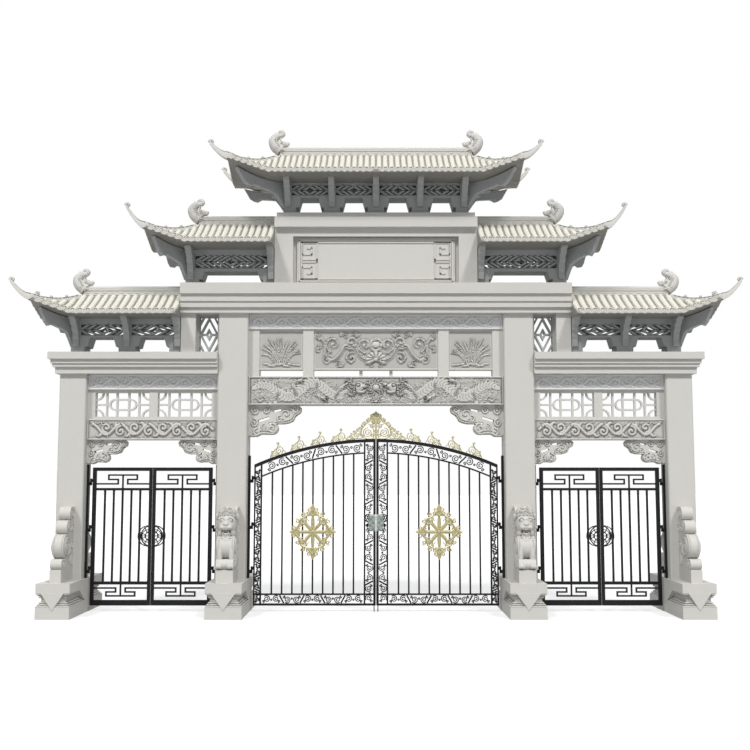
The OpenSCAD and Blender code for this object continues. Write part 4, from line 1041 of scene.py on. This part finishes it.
def eave_disc(shape, place, along, side, roof, radius, copies):
    """The round end of a tile row, with a sunk ring and a boss."""
    z = roof.tiles_z(place[0], place[1]) + radius * 0.18
    points, hollow, faces = [], [], []
    for reach, out, sunk in DISC_RINGS:
        for angle in np.arange(DISC_SIDES) * 2 * math.pi / DISC_SIDES:
            flat = place + along * out + side * reach * radius * math.cos(angle)
            points.append((flat[0], flat[1], z + reach * radius * math.sin(angle)))
            # The sunk ring's painted shade, from the table.
            hollow.append(sunk)
    for i in range(len(DISC_RINGS) - 1):
        for k in range(DISC_SIDES):
            a, b = i * DISC_SIDES + k, i * DISC_SIDES + (k + 1) % DISC_SIDES
            faces.append((a, b, b + DISC_SIDES, a + DISC_SIDES))
    faces.append(tuple(range(len(points) - DISC_SIDES, len(points))))
    shape.add(points, faces, copies, hollow)


def drip_tile(shape, place, along, side, roof, copies):
    """The pointed drip tile between two rows."""
    half = roof.pitch / 2
    z = roof.tiles_z(place[0], place[1]) + 0.012
    outline = [(-1, 0.0), (1, 0.0), (0.96, -0.046), (0.45, -0.056), (0, -0.066), (-0.45, -0.056),
               (-0.96, -0.046)]
    points = []
    for out in (0.004, 0.018):
        for across, down in outline:
            flat = place + along * out + side * across * half
            points.append((flat[0], flat[1], z + down))
    n = len(outline)
    faces = [(i, (i + 1) % n, (i + 1) % n + n, i + n) for i in range(n)]
    faces += [tuple(range(n))[::-1], tuple(range(n, 2 * n))]
    shape.add(points, faces, copies)


def roof_rows(roof):
    """All the tile rows, round ends and drip tiles of a roof."""
    rows, ends = Shape(), Shape()
    radius = roof.pitch * 0.385
    first = roof.inner + roof.pitch / 2
    count = int((roof.eave_end - 0.10 - first) / roof.pitch) + 1
    eave = roof.deep - 0.010
    along_x, along_y = np.array([1.0, 0]), np.array([0, 1.0])
    for k in range(count):
        x = first + k * roof.pitch
        share = max(0, (x - roof.ridge_end) / (roof.eave_end - roof.ridge_end))
        top = RIDGE_W / 2 + share * (roof.deep - RIDGE_W / 2) + (HIP_GAP if share else 0)
        tile_row(rows, (x, -top), (x, -eave), roof, radius, ALL_FOUR)
        drip_tile(ends, np.array([x + roof.pitch / 2, -eave]), -along_y, along_x, roof, ALL_FOUR)
    rows_y = int((roof.deep - 0.10) / roof.pitch)
    end = roof.eave_end - 0.010
    for k in range(-rows_y, rows_y + 1):
        y = k * roof.pitch
        share = max(0, (abs(y) - RIDGE_W / 2) / (roof.deep - RIDGE_W / 2))
        top = roof.ridge_end + share * (roof.eave_end - roof.ridge_end) + (HIP_GAP if share else 0)
        tile_row(rows, (top, y), (end, y), roof, radius, BOTH_SIDES)
        if k < rows_y:
            drip_tile(ends, np.array([end, y + roof.pitch / 2]), along_x, along_y, roof, BOTH_SIDES)
    rows.piece("tile_rows_" + roof.name, "frame", TILE, "pale_tile", 50)
    ends.piece("drip_tiles_" + roof.name, "frame", GRANITE, "grey_granite", 30)


def hip_cap(shape, roof):
    """The rounded cap over a hip, with its lapped tiles, and the curled horn at its end."""
    run_x, run_y = roof.eave_end - roof.ridge_end, roof.deep - HIP_INSET
    path, high, wide = [], [], []
    caps, start = 12, HIP_START * 0.6
    for k in range(caps):
        for share, swell in ((k / caps, 0.94), ((k + 0.97) / caps, 1.04)):
            s = start + (1 - start) * share
            x, y = roof.ridge_end + s * run_x, -s * run_y
            path.append((x, y, roof.tiles_z(x, y) - 0.01))
            high.append((HIP_H + 0.018) * swell)
            wide.append(0.074 * swell)
    tip_x, tip_z = roof.eave_end, path[-1][2] + 0.01
    for u in np.linspace(0.04, 1, 16):
        thick = 0.125 * (1 - 0.45 * u) + 0.014
        head = tip_z + HIP_H + (roof.horn_rise - HIP_H) * u ** 1.7 + 0.010
        path.append((tip_x + roof.horn_out * u, -run_y, head - thick))
        high.append(thick)
        wide.append(0.070 * (1 - 0.45 * u) + 0.005)
    path = np.asarray(path)
    flat = np.gradient(path[:, :2], axis=0)
    flat /= np.linalg.norm(flat, axis=1, keepdims=True)
    section = [(-1, 0), (-1, 0.55), (-0.72, 0.86), (0, 1), (0.72, 0.86), (1, 0.55), (1, 0)]
    points = []
    for (x, y, z), (dx, dy), h, w in zip(path, flat, high, wide):
        points += [(x - dy * w * a, y + dx * w * a, z + h * b) for a, b in section]
    n, sides = len(path), len(section)
    shape.add(points, skin_faces(n, sides), ALL_FOUR)
    end = path[-1]
    curl_end = spiral(end[0] - 0.030, end[2] + 0.045, 0.040, 0.8, 0.0, 1, 12, 0.35)
    coil = upright(curl_end, -run_y)
    shape.add(*tube(coil, np.linspace(0.034, 0.016, 12), 8), ALL_FOUR)
    for s in (0.34, 0.62):
        x, y = roof.ridge_end + s * run_x, -s * run_y
        shape.add(*ball((x, y, roof.tiles_z(x, y) + HIP_H + 0.02), (0.030, 0.030, 0.034), 6, 8), ALL_FOUR)


def ridge_trim(shape, roof):
    """Cap and mouldings of a ridge, with a row of small bosses."""
    end = roof.ridge_end
    start = roof.inner if roof.inner else -end
    copies = ALL_FOUR if roof.inner else BOTH_FACES
    top = roof.ridge_z + RIDGE_H
    cap = np.array([(start, 0, top - 0.012), (end - 0.12, 0, top - 0.012)])
    shape.add(*tube(cap, 0.050, 10, 1.35), copies[:2] if roof.inner else FRONT_ONLY)
    for z, half in ((0.030, 0.010), (0.115, 0.008)):
        shape.add(*bar((start, end + 0.004), (-RIDGE_W / 2 - 0.012, -RIDGE_W / 2 + 0.004),
                       (roof.ridge_z + z - half, roof.ridge_z + z + half), 0.004), copies)
    count = round((end - start) / 0.16)
    for k in range(count):
        x = start + (k + 0.5) * (end - start) / count
        shape.add(*ball((x, -RIDGE_W / 2, roof.ridge_z + 0.072), (0.042, 0.010, 0.018), 4, 10), copies)


# Swept parts of a ridge beast: its places from the ridge's end, thickness at equal steps along it,
# sides, squash, and how far it stands off the middle plane
BEAST_RUNS = [
    (((-0.02, -0.03), (0.09, 0.06), (0.13, 0.16), (0.07, 0.245), (-0.01, 0.265)),
     ((0, 0.2, 0.55, 1), (0.118, 0.112, 0.088, 0.054)), 7, 10, 1.0, 0),
    (((-0.01, 0.265), (-0.055, 0.300), (-0.03, 0.345), (0.015, 0.330), (0.005, 0.300)),
     ((0, 1), (0.054, 0.026)), 6, 8, 1.0, 0),
    (((0.02, 0.085), (-0.06, 0.105), (-0.125, 0.090), (-0.165, 0.135)),
     ((0, 1), (0.080, 0.028)), 6, 8, 1.0, 0),
    (((0.02, 0.02), (-0.06, -0.010), (-0.12, -0.040), (-0.15, -0.020)),
     ((0, 1), (0.075, 0.026)), 6, 8, 1.15, 0),
    (((-0.03, 0.150), (0.0, 0.185), (-0.02, 0.225)), ((0, 1), (0.020, 0.007)), 5, 6, 1.0, 0.035),
    (((0.05, 0.02), (0.0, -0.03), (-0.06, -0.02), (-0.09, -0.045)),
     ((0, 1), (0.030, 0.012)), 5, 6, 1.0, 0.090),
]

# The fins down its back: height, lean and length
BEAST_FINS = ((0.06, 0.1, 0.065), (0.125, 0.35, 0.060), (0.19, 0.7, 0.060), (0.25, 1.25, 0.055))


def ridge_beast(shape, roof):
    """A fish-dragon that bites the ridge's end, its tail curled up and over."""
    x0, z0 = roof.ridge_end, roof.ridge_z + RIDGE_H
    for places, (steps_at, girths), steps, sides, squash, aside in BEAST_RUNS:
        run = curve(*[(x0 + x, z0 + z) for x, z in places], steps=steps)
        thick = np.interp(np.linspace(0, 1, len(run)), steps_at, girths)
        for y in (-aside, aside) if aside else (0,):
            shape.add(*tube(upright(run, y), thick, sides, squash), BOTH_SIDES)
    for z, lean, long in BEAST_FINS:
        root = (x0 + 0.105 - 0.3 * max(0, z - 0.15), z0 + z)
        fin = curve(root, (root[0] + long * math.cos(lean) * 0.7, root[1] + long * math.sin(lean)),
                    (root[0] + long * math.cos(lean) * 0.9, root[1] + long * (0.5 + math.sin(lean))),
                    steps=5)
        shape.add(*tube(upright(fin, 0), np.linspace(0.044, 0.014, len(fin)), 6, 0.7), BOTH_SIDES)
    for s in (-1, 1):
        shape.add(*ball((x0 - 0.035, s * 0.074, z0 + 0.125), (0.020, 0.016, 0.020), 6, 8), BOTH_SIDES)
        for k in range(4):
            mane = spiral(x0 + 0.020 + 0.022 * k, z0 + 0.04 + 0.038 * k, 0.030, 1.2, 0.5, 1, 14)
            shape.add(*tube(upright(mane, s * (0.104 - 0.008 * k)), 0.011, 6), BOTH_SIDES)


# Each row of windows: its posts, and its sill and head
WINDOW_ROWS = [((3.68, 4.62, 5.56), 5.070, 5.290), ((1.96, 3.46), 6.334, 6.592),
               ((0.0, 0.83, 1.66), 7.728, 7.939)]
HALF_POST = 0.075
LATTICE_Y = 0.168
LATTICE_DEEP = 0.020
LATTICE_PITCH = 0.118
LATTICE_SLOPE = 0.62


def diamond_lattice(shape, x0, x1, z0, z1):
    """Thick nested diamonds, cut off by the edges of a window in a wall under a roof."""
    middle, centre = (z0 + z1) / 2, (x0 + x1) / 2
    half_h, half_w = (z1 - z0) / 2, (x1 - x0) / 2
    count = max(2, round(half_w / LATTICE_PITCH))

    def strut(a, b, girth):
        for y in (-LATTICE_Y, LATTICE_Y):
            path = [(a[0], y, a[1]), (b[0], y, b[1])]
            shape.add(*tube(path, girth, 4, LATTICE_DEEP / girth), BOTH_SIDES)

    for k in range(1, count + 1):
        tip = half_w * k / count + 0.012
        run = min(tip, half_h / LATTICE_SLOPE)
        for s in (-1, 1):
            for up in (-1, 1):
                strut((centre + s * tip, middle),
                      (centre + s * (tip - run), middle + up * run * LATTICE_SLOPE), 0.026)
    for edge in (z0, z1):
        strut((x0, edge), (x1, edge), 0.018)


def roof_windows():
    """The lattices in every window under the roofs, as one piece."""
    shape = Shape()
    for posts, sill, head in WINDOW_ROWS:
        for a, b in zip(posts, posts[1:]):
            diamond_lattice(shape, a + HALF_POST, b - HALF_POST, sill, head)
    shape.piece("window_chevrons", "frame", SHADED, "grey_granite", 30)


def roof_looks():
    """Tiles, hips, ridges and beasts of every roof."""
    hips, ridges, beasts = Shape(), Shape(), Shape()
    for roof in ROOFS:
        roof_rows(roof)
        hip_cap(hips, roof)
        ridge_trim(ridges, roof)
        ridge_beast(beasts, roof)
    hips.piece("hip_caps", "frame", GRANITE, "grey_granite", 40)
    ridges.piece("ridge_trim", "frame", GRANITE, "grey_granite", 40)
    beasts.piece("fish_dragons", "frame", CARVED, "carved_granite", 60, ["ridge_beasts"])


roof_looks()
roof_windows()

# ---------------------------------------------------------------- iron scrollwork

MAIN_AXIS = 2.283
LEAF_START = 0.032
LEAF_END = 2.278
STILE_BAND = 0.147
MEET_BAND = 0.220
ARCH_TOP = 3.158
ARCH_R = 5.600
ARCH_BAND = 0.270
GATE_FOOT = 0.117
FOOT_RAIL = 0.036
FOOT_BAND = 0.153
WIRE = 0.0098
SCROLL_UNIT = 2.35
LEAVES = (("left", 1), ("right", -1))


def arch_z(x, inset=0.0):
    """Height of the arch over a place, a given distance inside it."""
    return ARCH_TOP - ARCH_R + math.sqrt((ARCH_R - inset) ** 2 - x * x)


def scroll_unit(size, length):
    """One repeat of the band: two facing scrolls hung from one edge, a ring and two small curls."""
    edge = size * 0.46
    reach = min(size * 0.41, length * 0.205)
    runs = []
    for way in (1, -1):
        start = 0 if way > 0 else length
        turn = math.pi / 2 + way * 0.75
        runs.append(spiral(start + way * 0.275 * length, edge - reach, reach, 1.75, turn, -way, 34, 0.16))
        foot = (start + way * 0.11 * length, -edge * 0.52)
        runs.append(spiral(foot[0], foot[1], reach * 0.42, 1.2, -math.pi / 2, way, 14))
    runs.append(spiral(length / 2, -edge * 0.15, size * 0.085, 1.0, 0, 1, 10, 1.0))
    return runs


def scroll_band(shape, length, size, place, copies):
    """Scrollwork along a band. place turns (along, across) into (x, z)."""
    count = max(1, round(length / (size * SCROLL_UNIT)))
    unit = length / count
    for k in range(count):
        flip = 1 if k % 2 == 0 else -1
        runs = [(run, WIRE) for run in scroll_unit(size, unit)]
        if k:
            slant = curve((-0.10 * unit, -size * 0.46), (-0.035 * unit, -size * 0.15),
                          (0.035 * unit, size * 0.15), (0.10 * unit, size * 0.46), steps=4)
            runs.append((slant, WIRE * 1.6))
        for run, thick in runs:
            path = np.array([place(k * unit + u, flip * v) for u, v in run])
            shape.add(*tube(upright(path, 0), thick, 5, 1.15), copies)


def leaf_scrolls(side, sign):
    """The scroll bands in a middle leaf's stiles, foot and arch."""
    shape = Shape()
    copies = [(sign, 1)]
    left, right = -MAIN_AXIS + LEAF_START, -MAIN_AXIS + LEAF_END
    foot = GATE_FOOT + FOOT_RAIL
    hinge_mid = left + (STILE_BAND + 0.003) / 2
    scroll_band(shape, arch_z(hinge_mid, 0.10) - foot, STILE_BAND - 0.047,
                lambda u, v: (hinge_mid + v, foot + u), copies)
    meet_mid = right - (MEET_BAND + 0.023) / 2
    scroll_band(shape, arch_z(meet_mid, 0.065) - foot, MEET_BAND - 0.067,
                lambda u, v: (meet_mid - v, foot + u), copies)
    low_mid = foot + FOOT_BAND / 2
    inner_left, inner_right = left + STILE_BAND, right - MEET_BAND
    scroll_band(shape, inner_right - inner_left, FOOT_BAND,
                lambda u, v: (inner_left + u, low_mid + v), copies)
    middle = ARCH_R - (0.032 + ARCH_BAND) / 2
    start, end = math.asin(inner_left / ARCH_R), math.asin(inner_right / ARCH_R)

    def on_arch(u, v):
        angle = start + u / middle
        return ((middle + v) * math.sin(angle), ARCH_TOP - ARCH_R + (middle + v) * math.cos(angle))

    scroll_band(shape, (end - start) * middle, ARCH_BAND - 0.088, on_arch, copies)
    shape.piece("scrollwork_" + side, "main_leaf_" + side, IRON, "black_iron")


# ---------------------------------------------------------------- gilt work

ROSETTE_X = -MAIN_AXIS + 1.1185
ROSETTE_Y = 0.021
ROSETTE_Z = 1.45
ROSETTE_WIDE = 0.435
ROSETTE_TALL = 0.510
FINIAL_PLACES = (0.690, 1.065, 1.440, 1.815)
FINIAL_TALL = 0.80

# The eight tips of a rosette, as shares of its half width and half height
ROSETTE_TIPS = [(0, 1), (0.52, 0.50), (1, 0), (0.52, -0.50), (0, -1), (-0.52, -0.50), (-1, 0), (-0.52, 0.50)]

# Bars of a finial, along and up from its foot, with their thickness; then its scrolls
FINIAL_BARS = [
    (((-0.150, 0.004), (-0.105, 0.075), (-0.040, 0.130), (0.030, 0.175), (0.075, 0.245)), 0.0105),
    (((0.060, 0.205), (0.105, 0.160), (0.120, 0.090), (0.085, 0.030), (0.075, 0.004)), 0.0095),
    (((0.085, 0.040), (0.130, 0.060), (0.150, 0.004)), 0.0085),
]
# Place, size, hand and start angle of each scroll
FINIAL_SCROLLS = [(0.045, 0.095, 0.058, 1, 1.2), (-0.045, 0.055, 0.045, -1, 1.8),
                  (0.062, 0.262, 0.024, 1, -0.6), (-0.105, 0.030, 0.026, 1, 0.5),
                  (0.005, 0.028, 0.026, 1, -1.5), (-0.080, 0.112, 0.024, -1, -1.0)]

# Bars of half the crown, out from the gate's middle and up from the arch, with their thickness
CROWN_BARS = [
    (((0.010, 0.0), (0.012, 0.22), (0.012, 0.47)), 0.010),
    (((0.030, 0.004), (0.175, 0.006), (0.270, 0.075), (0.262, 0.185), (0.180, 0.285), (0.085, 0.360),
      (0.045, 0.455)), 0.013),
    (((0.262, 0.120), (0.330, 0.150), (0.400, 0.105), (0.470, 0.070), (0.560, 0.000)), 0.011),
    (((0.045, 0.020), (0.040, 0.130), (0.075, 0.235), (0.150, 0.285)), 0.009),
    (((0.250, 0.020), (0.400, 0.004), (0.590, -0.032)), 0.010),
]
# Place, size, turns, start angle and hand of each scroll
CROWN_SCROLLS = [
    (0.152, 0.118, 0.092, 2.1, 1.57, 1), (0.075, 0.250, 0.045, 1.6, 0, -1),
    (0.375, 0.068, 0.052, 1.6, -1.5, 1), (0.465, 0.030, 0.038, 1.5, -1.5, 1),
    (0.315, 0.085, 0.038, 1.4, 1.5, -1), (0.420, 0.000, 0.026, 1.3, 1.5, -1),
    (0.540, -0.008, 0.028, 1.3, -1.5, 1), (0.300, 0.200, 0.034, 1.4, 3.0, 1),
    (0.215, 0.300, 0.036, 1.4, 3.0, 1), (0.130, 0.372, 0.034, 1.4, 3.0, 1),
    (0.050, 0.330, 0.030, 1.4, 0, -1), (0.060, 0.062, 0.038, 1.4, 0, 1),
    (0.238, 0.058, 0.030, 1.3, 2, 1), (0.075, 0.445, 0.026, 1.3, 3.0, 1),
    (0.400, 0.140, 0.026, 1.3, 3.0, 1), (0.020, 0.150, 0.030, 1.3, 3.0, 1),
]
# Root, tip, half width and thickness of each blade
CROWN_BLADES = [
    ((0.245, 0.21), (0.275, 0.275), 0.022, 0.010), ((0.155, 0.305), (0.170, 0.375), 0.022, 0.010),
    ((0.07, 0.36), (0.100, 0.430), 0.026, 0.010), ((0.02, 0.34), (0.060, 0.410), 0.030, 0.010),
    ((0.015, 0.40), (0.050, 0.485), 0.022, 0.010), ((0.02, 0.28), (0.085, 0.330), 0.026, 0.010),
    ((0.33, 0.14), (0.365, 0.190), 0.018, 0.010), ((0.44, 0.075), (0.475, 0.115), 0.016, 0.010),
    ((0.012, 0.40), (0.012, 0.515), 0.020, 0.009),
]


def leaf_blade(shape, start, end, wide, y, copies, thick=0.010):
    """A leaf blade with a raised midrib between two (x, z) places."""
    start, end = np.asarray(start, float), np.asarray(end, float)
    along = end - start
    side = np.array([-along[1], along[0]]) / max(np.linalg.norm(along), 1e-9)
    points, rows = [], 9
    for i in range(rows):
        t = i / (rows - 1)
        half = wide * (0.10 + 0.90 * math.sin(math.pi * min(1, 0.08 + 0.92 * t)) ** 0.8)
        for across, lift in ((-1, 0), (-0.5, 0.55), (0, 1), (0.5, 0.55), (1, 0), (0, -1)):
            x, z = start + along * t + side * across * half
            points.append((x, y - lift * thick, z))
    shape.add(points, skin_faces(rows, 6), copies)


def fleur(shape, tip, way, size, y, copies):
    """A three-lobed leaf tip. way is the direction it points, in radians."""
    tip = np.asarray(tip, float)
    ahead = np.array([math.cos(way), math.sin(way)])
    side = np.array([-ahead[1], ahead[0]])
    root = tip - ahead * size
    leaf_blade(shape, root, tip, size * 0.20, y, copies)
    for s in (-1, 1):
        lobe = curve(root + side * s * 0.04 * size, root + ahead * 0.30 * size + side * s * 0.30 * size,
                     root + ahead * 0.22 * size + side * s * 0.52 * size,
                     root - ahead * 0.02 * size + side * s * 0.46 * size, steps=5)
        shape.add(*tube(upright(lobe, y), np.linspace(size * 0.085, size * 0.045, len(lobe)), 6), copies)
        leaf_blade(shape, root - ahead * 0.05 * size, root + ahead * 0.45 * size + side * s * 0.32 * size,
                   size * 0.13, y, copies)
    shape.add(*ball((root[0], y, root[1]), (size * 0.12, size * 0.09, size * 0.12), 6, 8), copies)


def rosette(shape, y, copies):
    """Eight blades in a frame of leafy scrolls, taller than wide."""
    centre = np.array([ROSETTE_X, ROSETTE_Z])

    def at(share_x, share_z):
        return centre + (share_x * ROSETTE_WIDE, share_z * ROSETTE_TALL)

    for k, (tx, tz) in enumerate(ROSETTE_TIPS):
        main = k % 2 == 0
        way = math.atan2(tz * ROSETTE_TALL, tx * ROSETTE_WIDE)
        reach = 0.66 if main else 0.90
        leaf_blade(shape, centre, at(tx * reach, tz * reach), 0.034, y, copies, 0.014)
        fleur(shape, at(tx, tz), way, 0.21 if main else 0.15, y, copies)
        nx, nz = ROSETTE_TIPS[(k + 1) % 8]
        here, there = (0.80, 0.94) if main else (0.94, 0.80)
        a, b = at(tx * here, tz * here), at(nx * there, nz * there)
        middle = centre + ((a + b) / 2 - centre) * 0.93
        arc = curve(a, middle, b, steps=8)
        shape.add(*tube(upright(arc, y), 0.019, 6), copies)
        for place, hand in ((a * 0.72 + b * 0.28, 1), (a * 0.28 + b * 0.72, -1)):
            out = centre + (place - centre) * 1.14
            coil = spiral(out[0], out[1], 0.044, 1.2, way + hand, hand, 16)
            shape.add(*tube(upright(coil, y), 0.0125, 6), copies)
            inward = centre + (place - centre) * 0.86
            coil = spiral(inward[0], inward[1], 0.028, 1.2, way - hand, -hand, 14)
            shape.add(*tube(upright(coil, y), 0.010, 6), copies)
    shape.add(*ball((centre[0], y, centre[1]), (0.042, 0.022, 0.042), 8, 14), copies)
    for angle in math.pi * (np.arange(8) + 0.5) / 4:
        bead = (centre[0] + 0.055 * math.cos(angle), y, centre[1] + 0.055 * math.sin(angle))
        shape.add(*ball(bead, (0.014, 0.012, 0.014), 5, 8), copies)


def finial(shape, from_centre, copies):
    """A leaning leaf finial on the arch, with its tip towards the gate's middle."""
    slope = -math.asin(from_centre / ARCH_R)
    foot = np.array([-from_centre, arch_z(from_centre)])

    def at(u, v):
        v = v * FINIAL_TALL
        return foot + (u * math.cos(slope) + v * math.sin(slope), v * math.cos(slope) - u * math.sin(slope))

    for path, thick in FINIAL_BARS:
        run = curve(*[at(u, v) for u, v in path], steps=7)
        shape.add(*tube(upright(run, 0), thick, 6), copies)
    for u, v, size, hand, start in FINIAL_SCROLLS:
        x, z = at(u, v)
        shape.add(*tube(upright(spiral(x, z, size, 1.5, start, hand, 22), 0), 0.0085, 6), copies)


def crown(shape, copies):
    """Half of the crown over the meeting stiles."""
    for path, thick in CROWN_BARS:
        run = curve(*[(-x, ARCH_TOP + z) for x, z in path], steps=9)
        shape.add(*tube(upright(run, 0), thick, 6), copies)
    for x, z, size, turns, start, hand in CROWN_SCROLLS:
        coil = spiral(-x, ARCH_TOP + z, size, turns, start, hand, 28)
        shape.add(*tube(upright(coil, 0), 0.0105, 6), copies)
    for (x0, z0), (x1, z1), wide, thick in CROWN_BLADES:
        leaf_blade(shape, (-x0, ARCH_TOP + z0), (-x1, ARCH_TOP + z1), wide, 0, copies, thick)


def gilt_work(side, sign):
    """All the gilt trim of one middle leaf."""
    shape = Shape()
    copies = [(sign, 1)]
    for y in (-ROSETTE_Y, ROSETTE_Y):
        rosette(shape, y, copies)
    for place in FINIAL_PLACES:
        finial(shape, place, copies)
    crown(shape, copies)
    shape.piece("gilt_work_" + side, "main_leaf_" + side, GILT, "gilt", 45, ["gilt_" + side])


# ---------------------------------------------------------------- lock plates

LOCK_WIDE = 0.145
LOCK_LOW = 1.460
LOCK_HIGH = 1.770

# Scrolls on a lock plate: distance from the meeting edge, height from its middle, size and hand
LOCK_SCROLLS = [(0.055, 0.085, 0.036, 1), (0.105, 0.045, 0.026, -1), (0.055, -0.085, 0.036, -1),
                (0.105, -0.045, 0.026, 1), (0.045, 0.0, 0.030, 1), (0.110, 0.115, 0.020, 1),
                (0.110, -0.115, 0.020, -1)]


def lock_casting(side, sign):
    """A domed casting with a scalloped edge and raised scrolls, on both faces of a leaf."""
    shape = Shape()
    copies = [(sign, 1), (sign, -1)]
    right = -MAIN_AXIS + LEAF_END
    face, middle = -0.025, (LOCK_LOW + LOCK_HIGH) / 2
    tall = (LOCK_HIGH - LOCK_LOW) / 2
    rows, columns = 25, 15
    points, hollow = [], []
    for i in range(rows):
        v = -1 + 2 * i / (rows - 1)
        scallop = 0.80 + 0.20 * abs(math.cos(v * math.pi * 1.25)) ** 0.7
        edge = LOCK_WIDE * scallop * (1 - 0.22 * abs(v) ** 5)
        for j in range(columns):
            u = j / (columns - 1)
            rim = min(1, 4.0 * (1 - u), 5.0 * (1 - abs(v)))
            dome = 0.014 * rim ** 0.5 + 0.006 * math.cos(u * 9) * math.cos(v * 8) * rim
            points.append((right - u * edge, face - (dome if rim > 0 else -0.002), middle + v * tall))
            # Painted shade in the dips of the dome's ripple.
            hollow.append(max(0, -math.cos(u * 9) * math.cos(v * 8)) * 0.5)
    shape.add(points, grid_faces(rows, columns), copies, hollow)
    for u, v, size, hand in LOCK_SCROLLS:
        coil = upright(spiral(right - u, middle + v, size, 1.4, math.pi / 2, hand, 20), face - 0.016)
        shape.add(*tube(coil, 0.0055, 6), copies)
    shape.piece("lock_casting_" + side, "main_leaf_" + side, CASTING, "grey_casting", 60,
                ["lock_plate_" + side])
    wires = Shape()
    for v, hand in ((1, 1), (-1, -1), (0.35, 1), (-0.35, -1)):
        coil = spiral(right - LOCK_WIDE - 0.012, middle + v * tall * 0.86, 0.034, 1.3,
                      -hand * math.pi / 2, hand, 18)
        wires.add(*tube(upright(coil, 0), 0.008, 5), [(sign, 1)])
    wires.piece("lock_wires_" + side, "main_leaf_" + side, IRON, "black_iron")


# ---------------------------------------------------------------- side gate medallions

# Each side leaf, its hinge line and the way it reaches from there
SIDE_LEAVES = (("left_outer", -5.268, 1), ("left_inner", -2.992, -1), ("right_inner", 2.992, 1),
               ("right_outer", 5.268, -1))
SIDE_LEAF_END = 1.133
MEDAL_Z = 1.375
MEDAL_R = 0.195


def half_medallion(name, axis, way):
    """The two rims of one half of a round medallion, raised on both its faces."""
    shape = Shape()
    meet = axis + way * SIDE_LEAF_END
    angles = np.linspace(-math.pi / 2, math.pi / 2, 22)
    for radius, thick in ((MEDAL_R - 0.010, 0.010), (MEDAL_R * 0.52, 0.006)):
        rim = np.stack([meet - way * (0.004 + radius * np.cos(angles)),
                        MEDAL_Z + radius * np.sin(angles)], 1)
        for y in (-0.014, 0.014):
            shape.add(*tube(upright(rim, y), thick, 6), FRONT_ONLY)
    shape.piece("medallion_rim_" + name, "side_leaf_" + name, IRON, "black_iron")


for side, sign in LEAVES:
    leaf_scrolls(side, sign)
    gilt_work(side, sign)
    lock_casting(side, sign)
for name, axis, way in SIDE_LEAVES:
    half_medallion(name, axis, way)

# ---------------------------------------------------------------- finishes of the frame

# Nodes under the roofs that take the darker granite of painted shade.
SHADED_NODES = ("eave_wall", "pillar_lattices")
SLOT_FINISH = {"grey_granite": GRANITE, "carved_granite": CARVED, "pale_tile": TILE_BED_SHADE,
               "black_iron": IRON, "gilt": GILT, "grey_casting": CASTING}


def finish_frame():
    """Gives every plain node of the frame its finish."""
    for part in frame["record"]["subparts"]:
        thing = frame["nodes"][part["node"]]
        material = SLOT_FINISH[part["material_slot"]]
        if part["node"].startswith(SHADED_NODES):
            material = SHADED
        thing.data.materials.clear()
        thing.data.materials.append(material)


def make_floor():
    """A pale floor that keeps the gateway's shadow."""
    f = Finish.of_stuff("pale_floor")
    glow = f.blend(f.background_rays(), rgb(0, 0, 0), rgb(1, 1, 1))
    material = f.surface(Base_Color=rgb(0.46, 0.46, 0.47), Roughness=0.9, Emission_Color=glow,
                         Emission_Strength=FLOOR_GLOW)
    size = FLOOR_REACH
    mesh = bpy.data.meshes.new("floor")
    corners = [(-size, -size, 0), (size, -size, 0), (size, size, 0), (-size, size, 0)]
    mesh.from_pydata(corners, [], [(0, 1, 2, 3)])
    mesh.materials.append(material)
    floor = bpy.data.objects.new("floor", mesh)
    bpy.context.scene.collection.objects.link(floor)


def make_sky():
    """Even pale light, which itself looks white."""
    world = bpy.data.worlds.new("white_sky")
    f = Finish(world)
    plain = f.add("ShaderNodeBackground", None, {"Color": SKY, "Strength": SKY_STRENGTH})
    white = f.add("ShaderNodeBackground", None, {"Color": rgb(1, 1, 1)})
    values = {0: f.background_rays(), 1: plain.out("Background"), 2: white.out("Background")}
    sky = f.add("ShaderNodeMixShader", None, values).out("Shader")
    f.add("ShaderNodeOutputWorld", None, {"Surface": sky})
    bpy.context.scene.world = world


finish_frame()
make_floor()
make_sky()
make_camera()
for lamp in LAMPS:
    make_sun(*lamp)
bpy.context.scene.view_settings.view_transform = "Standard"
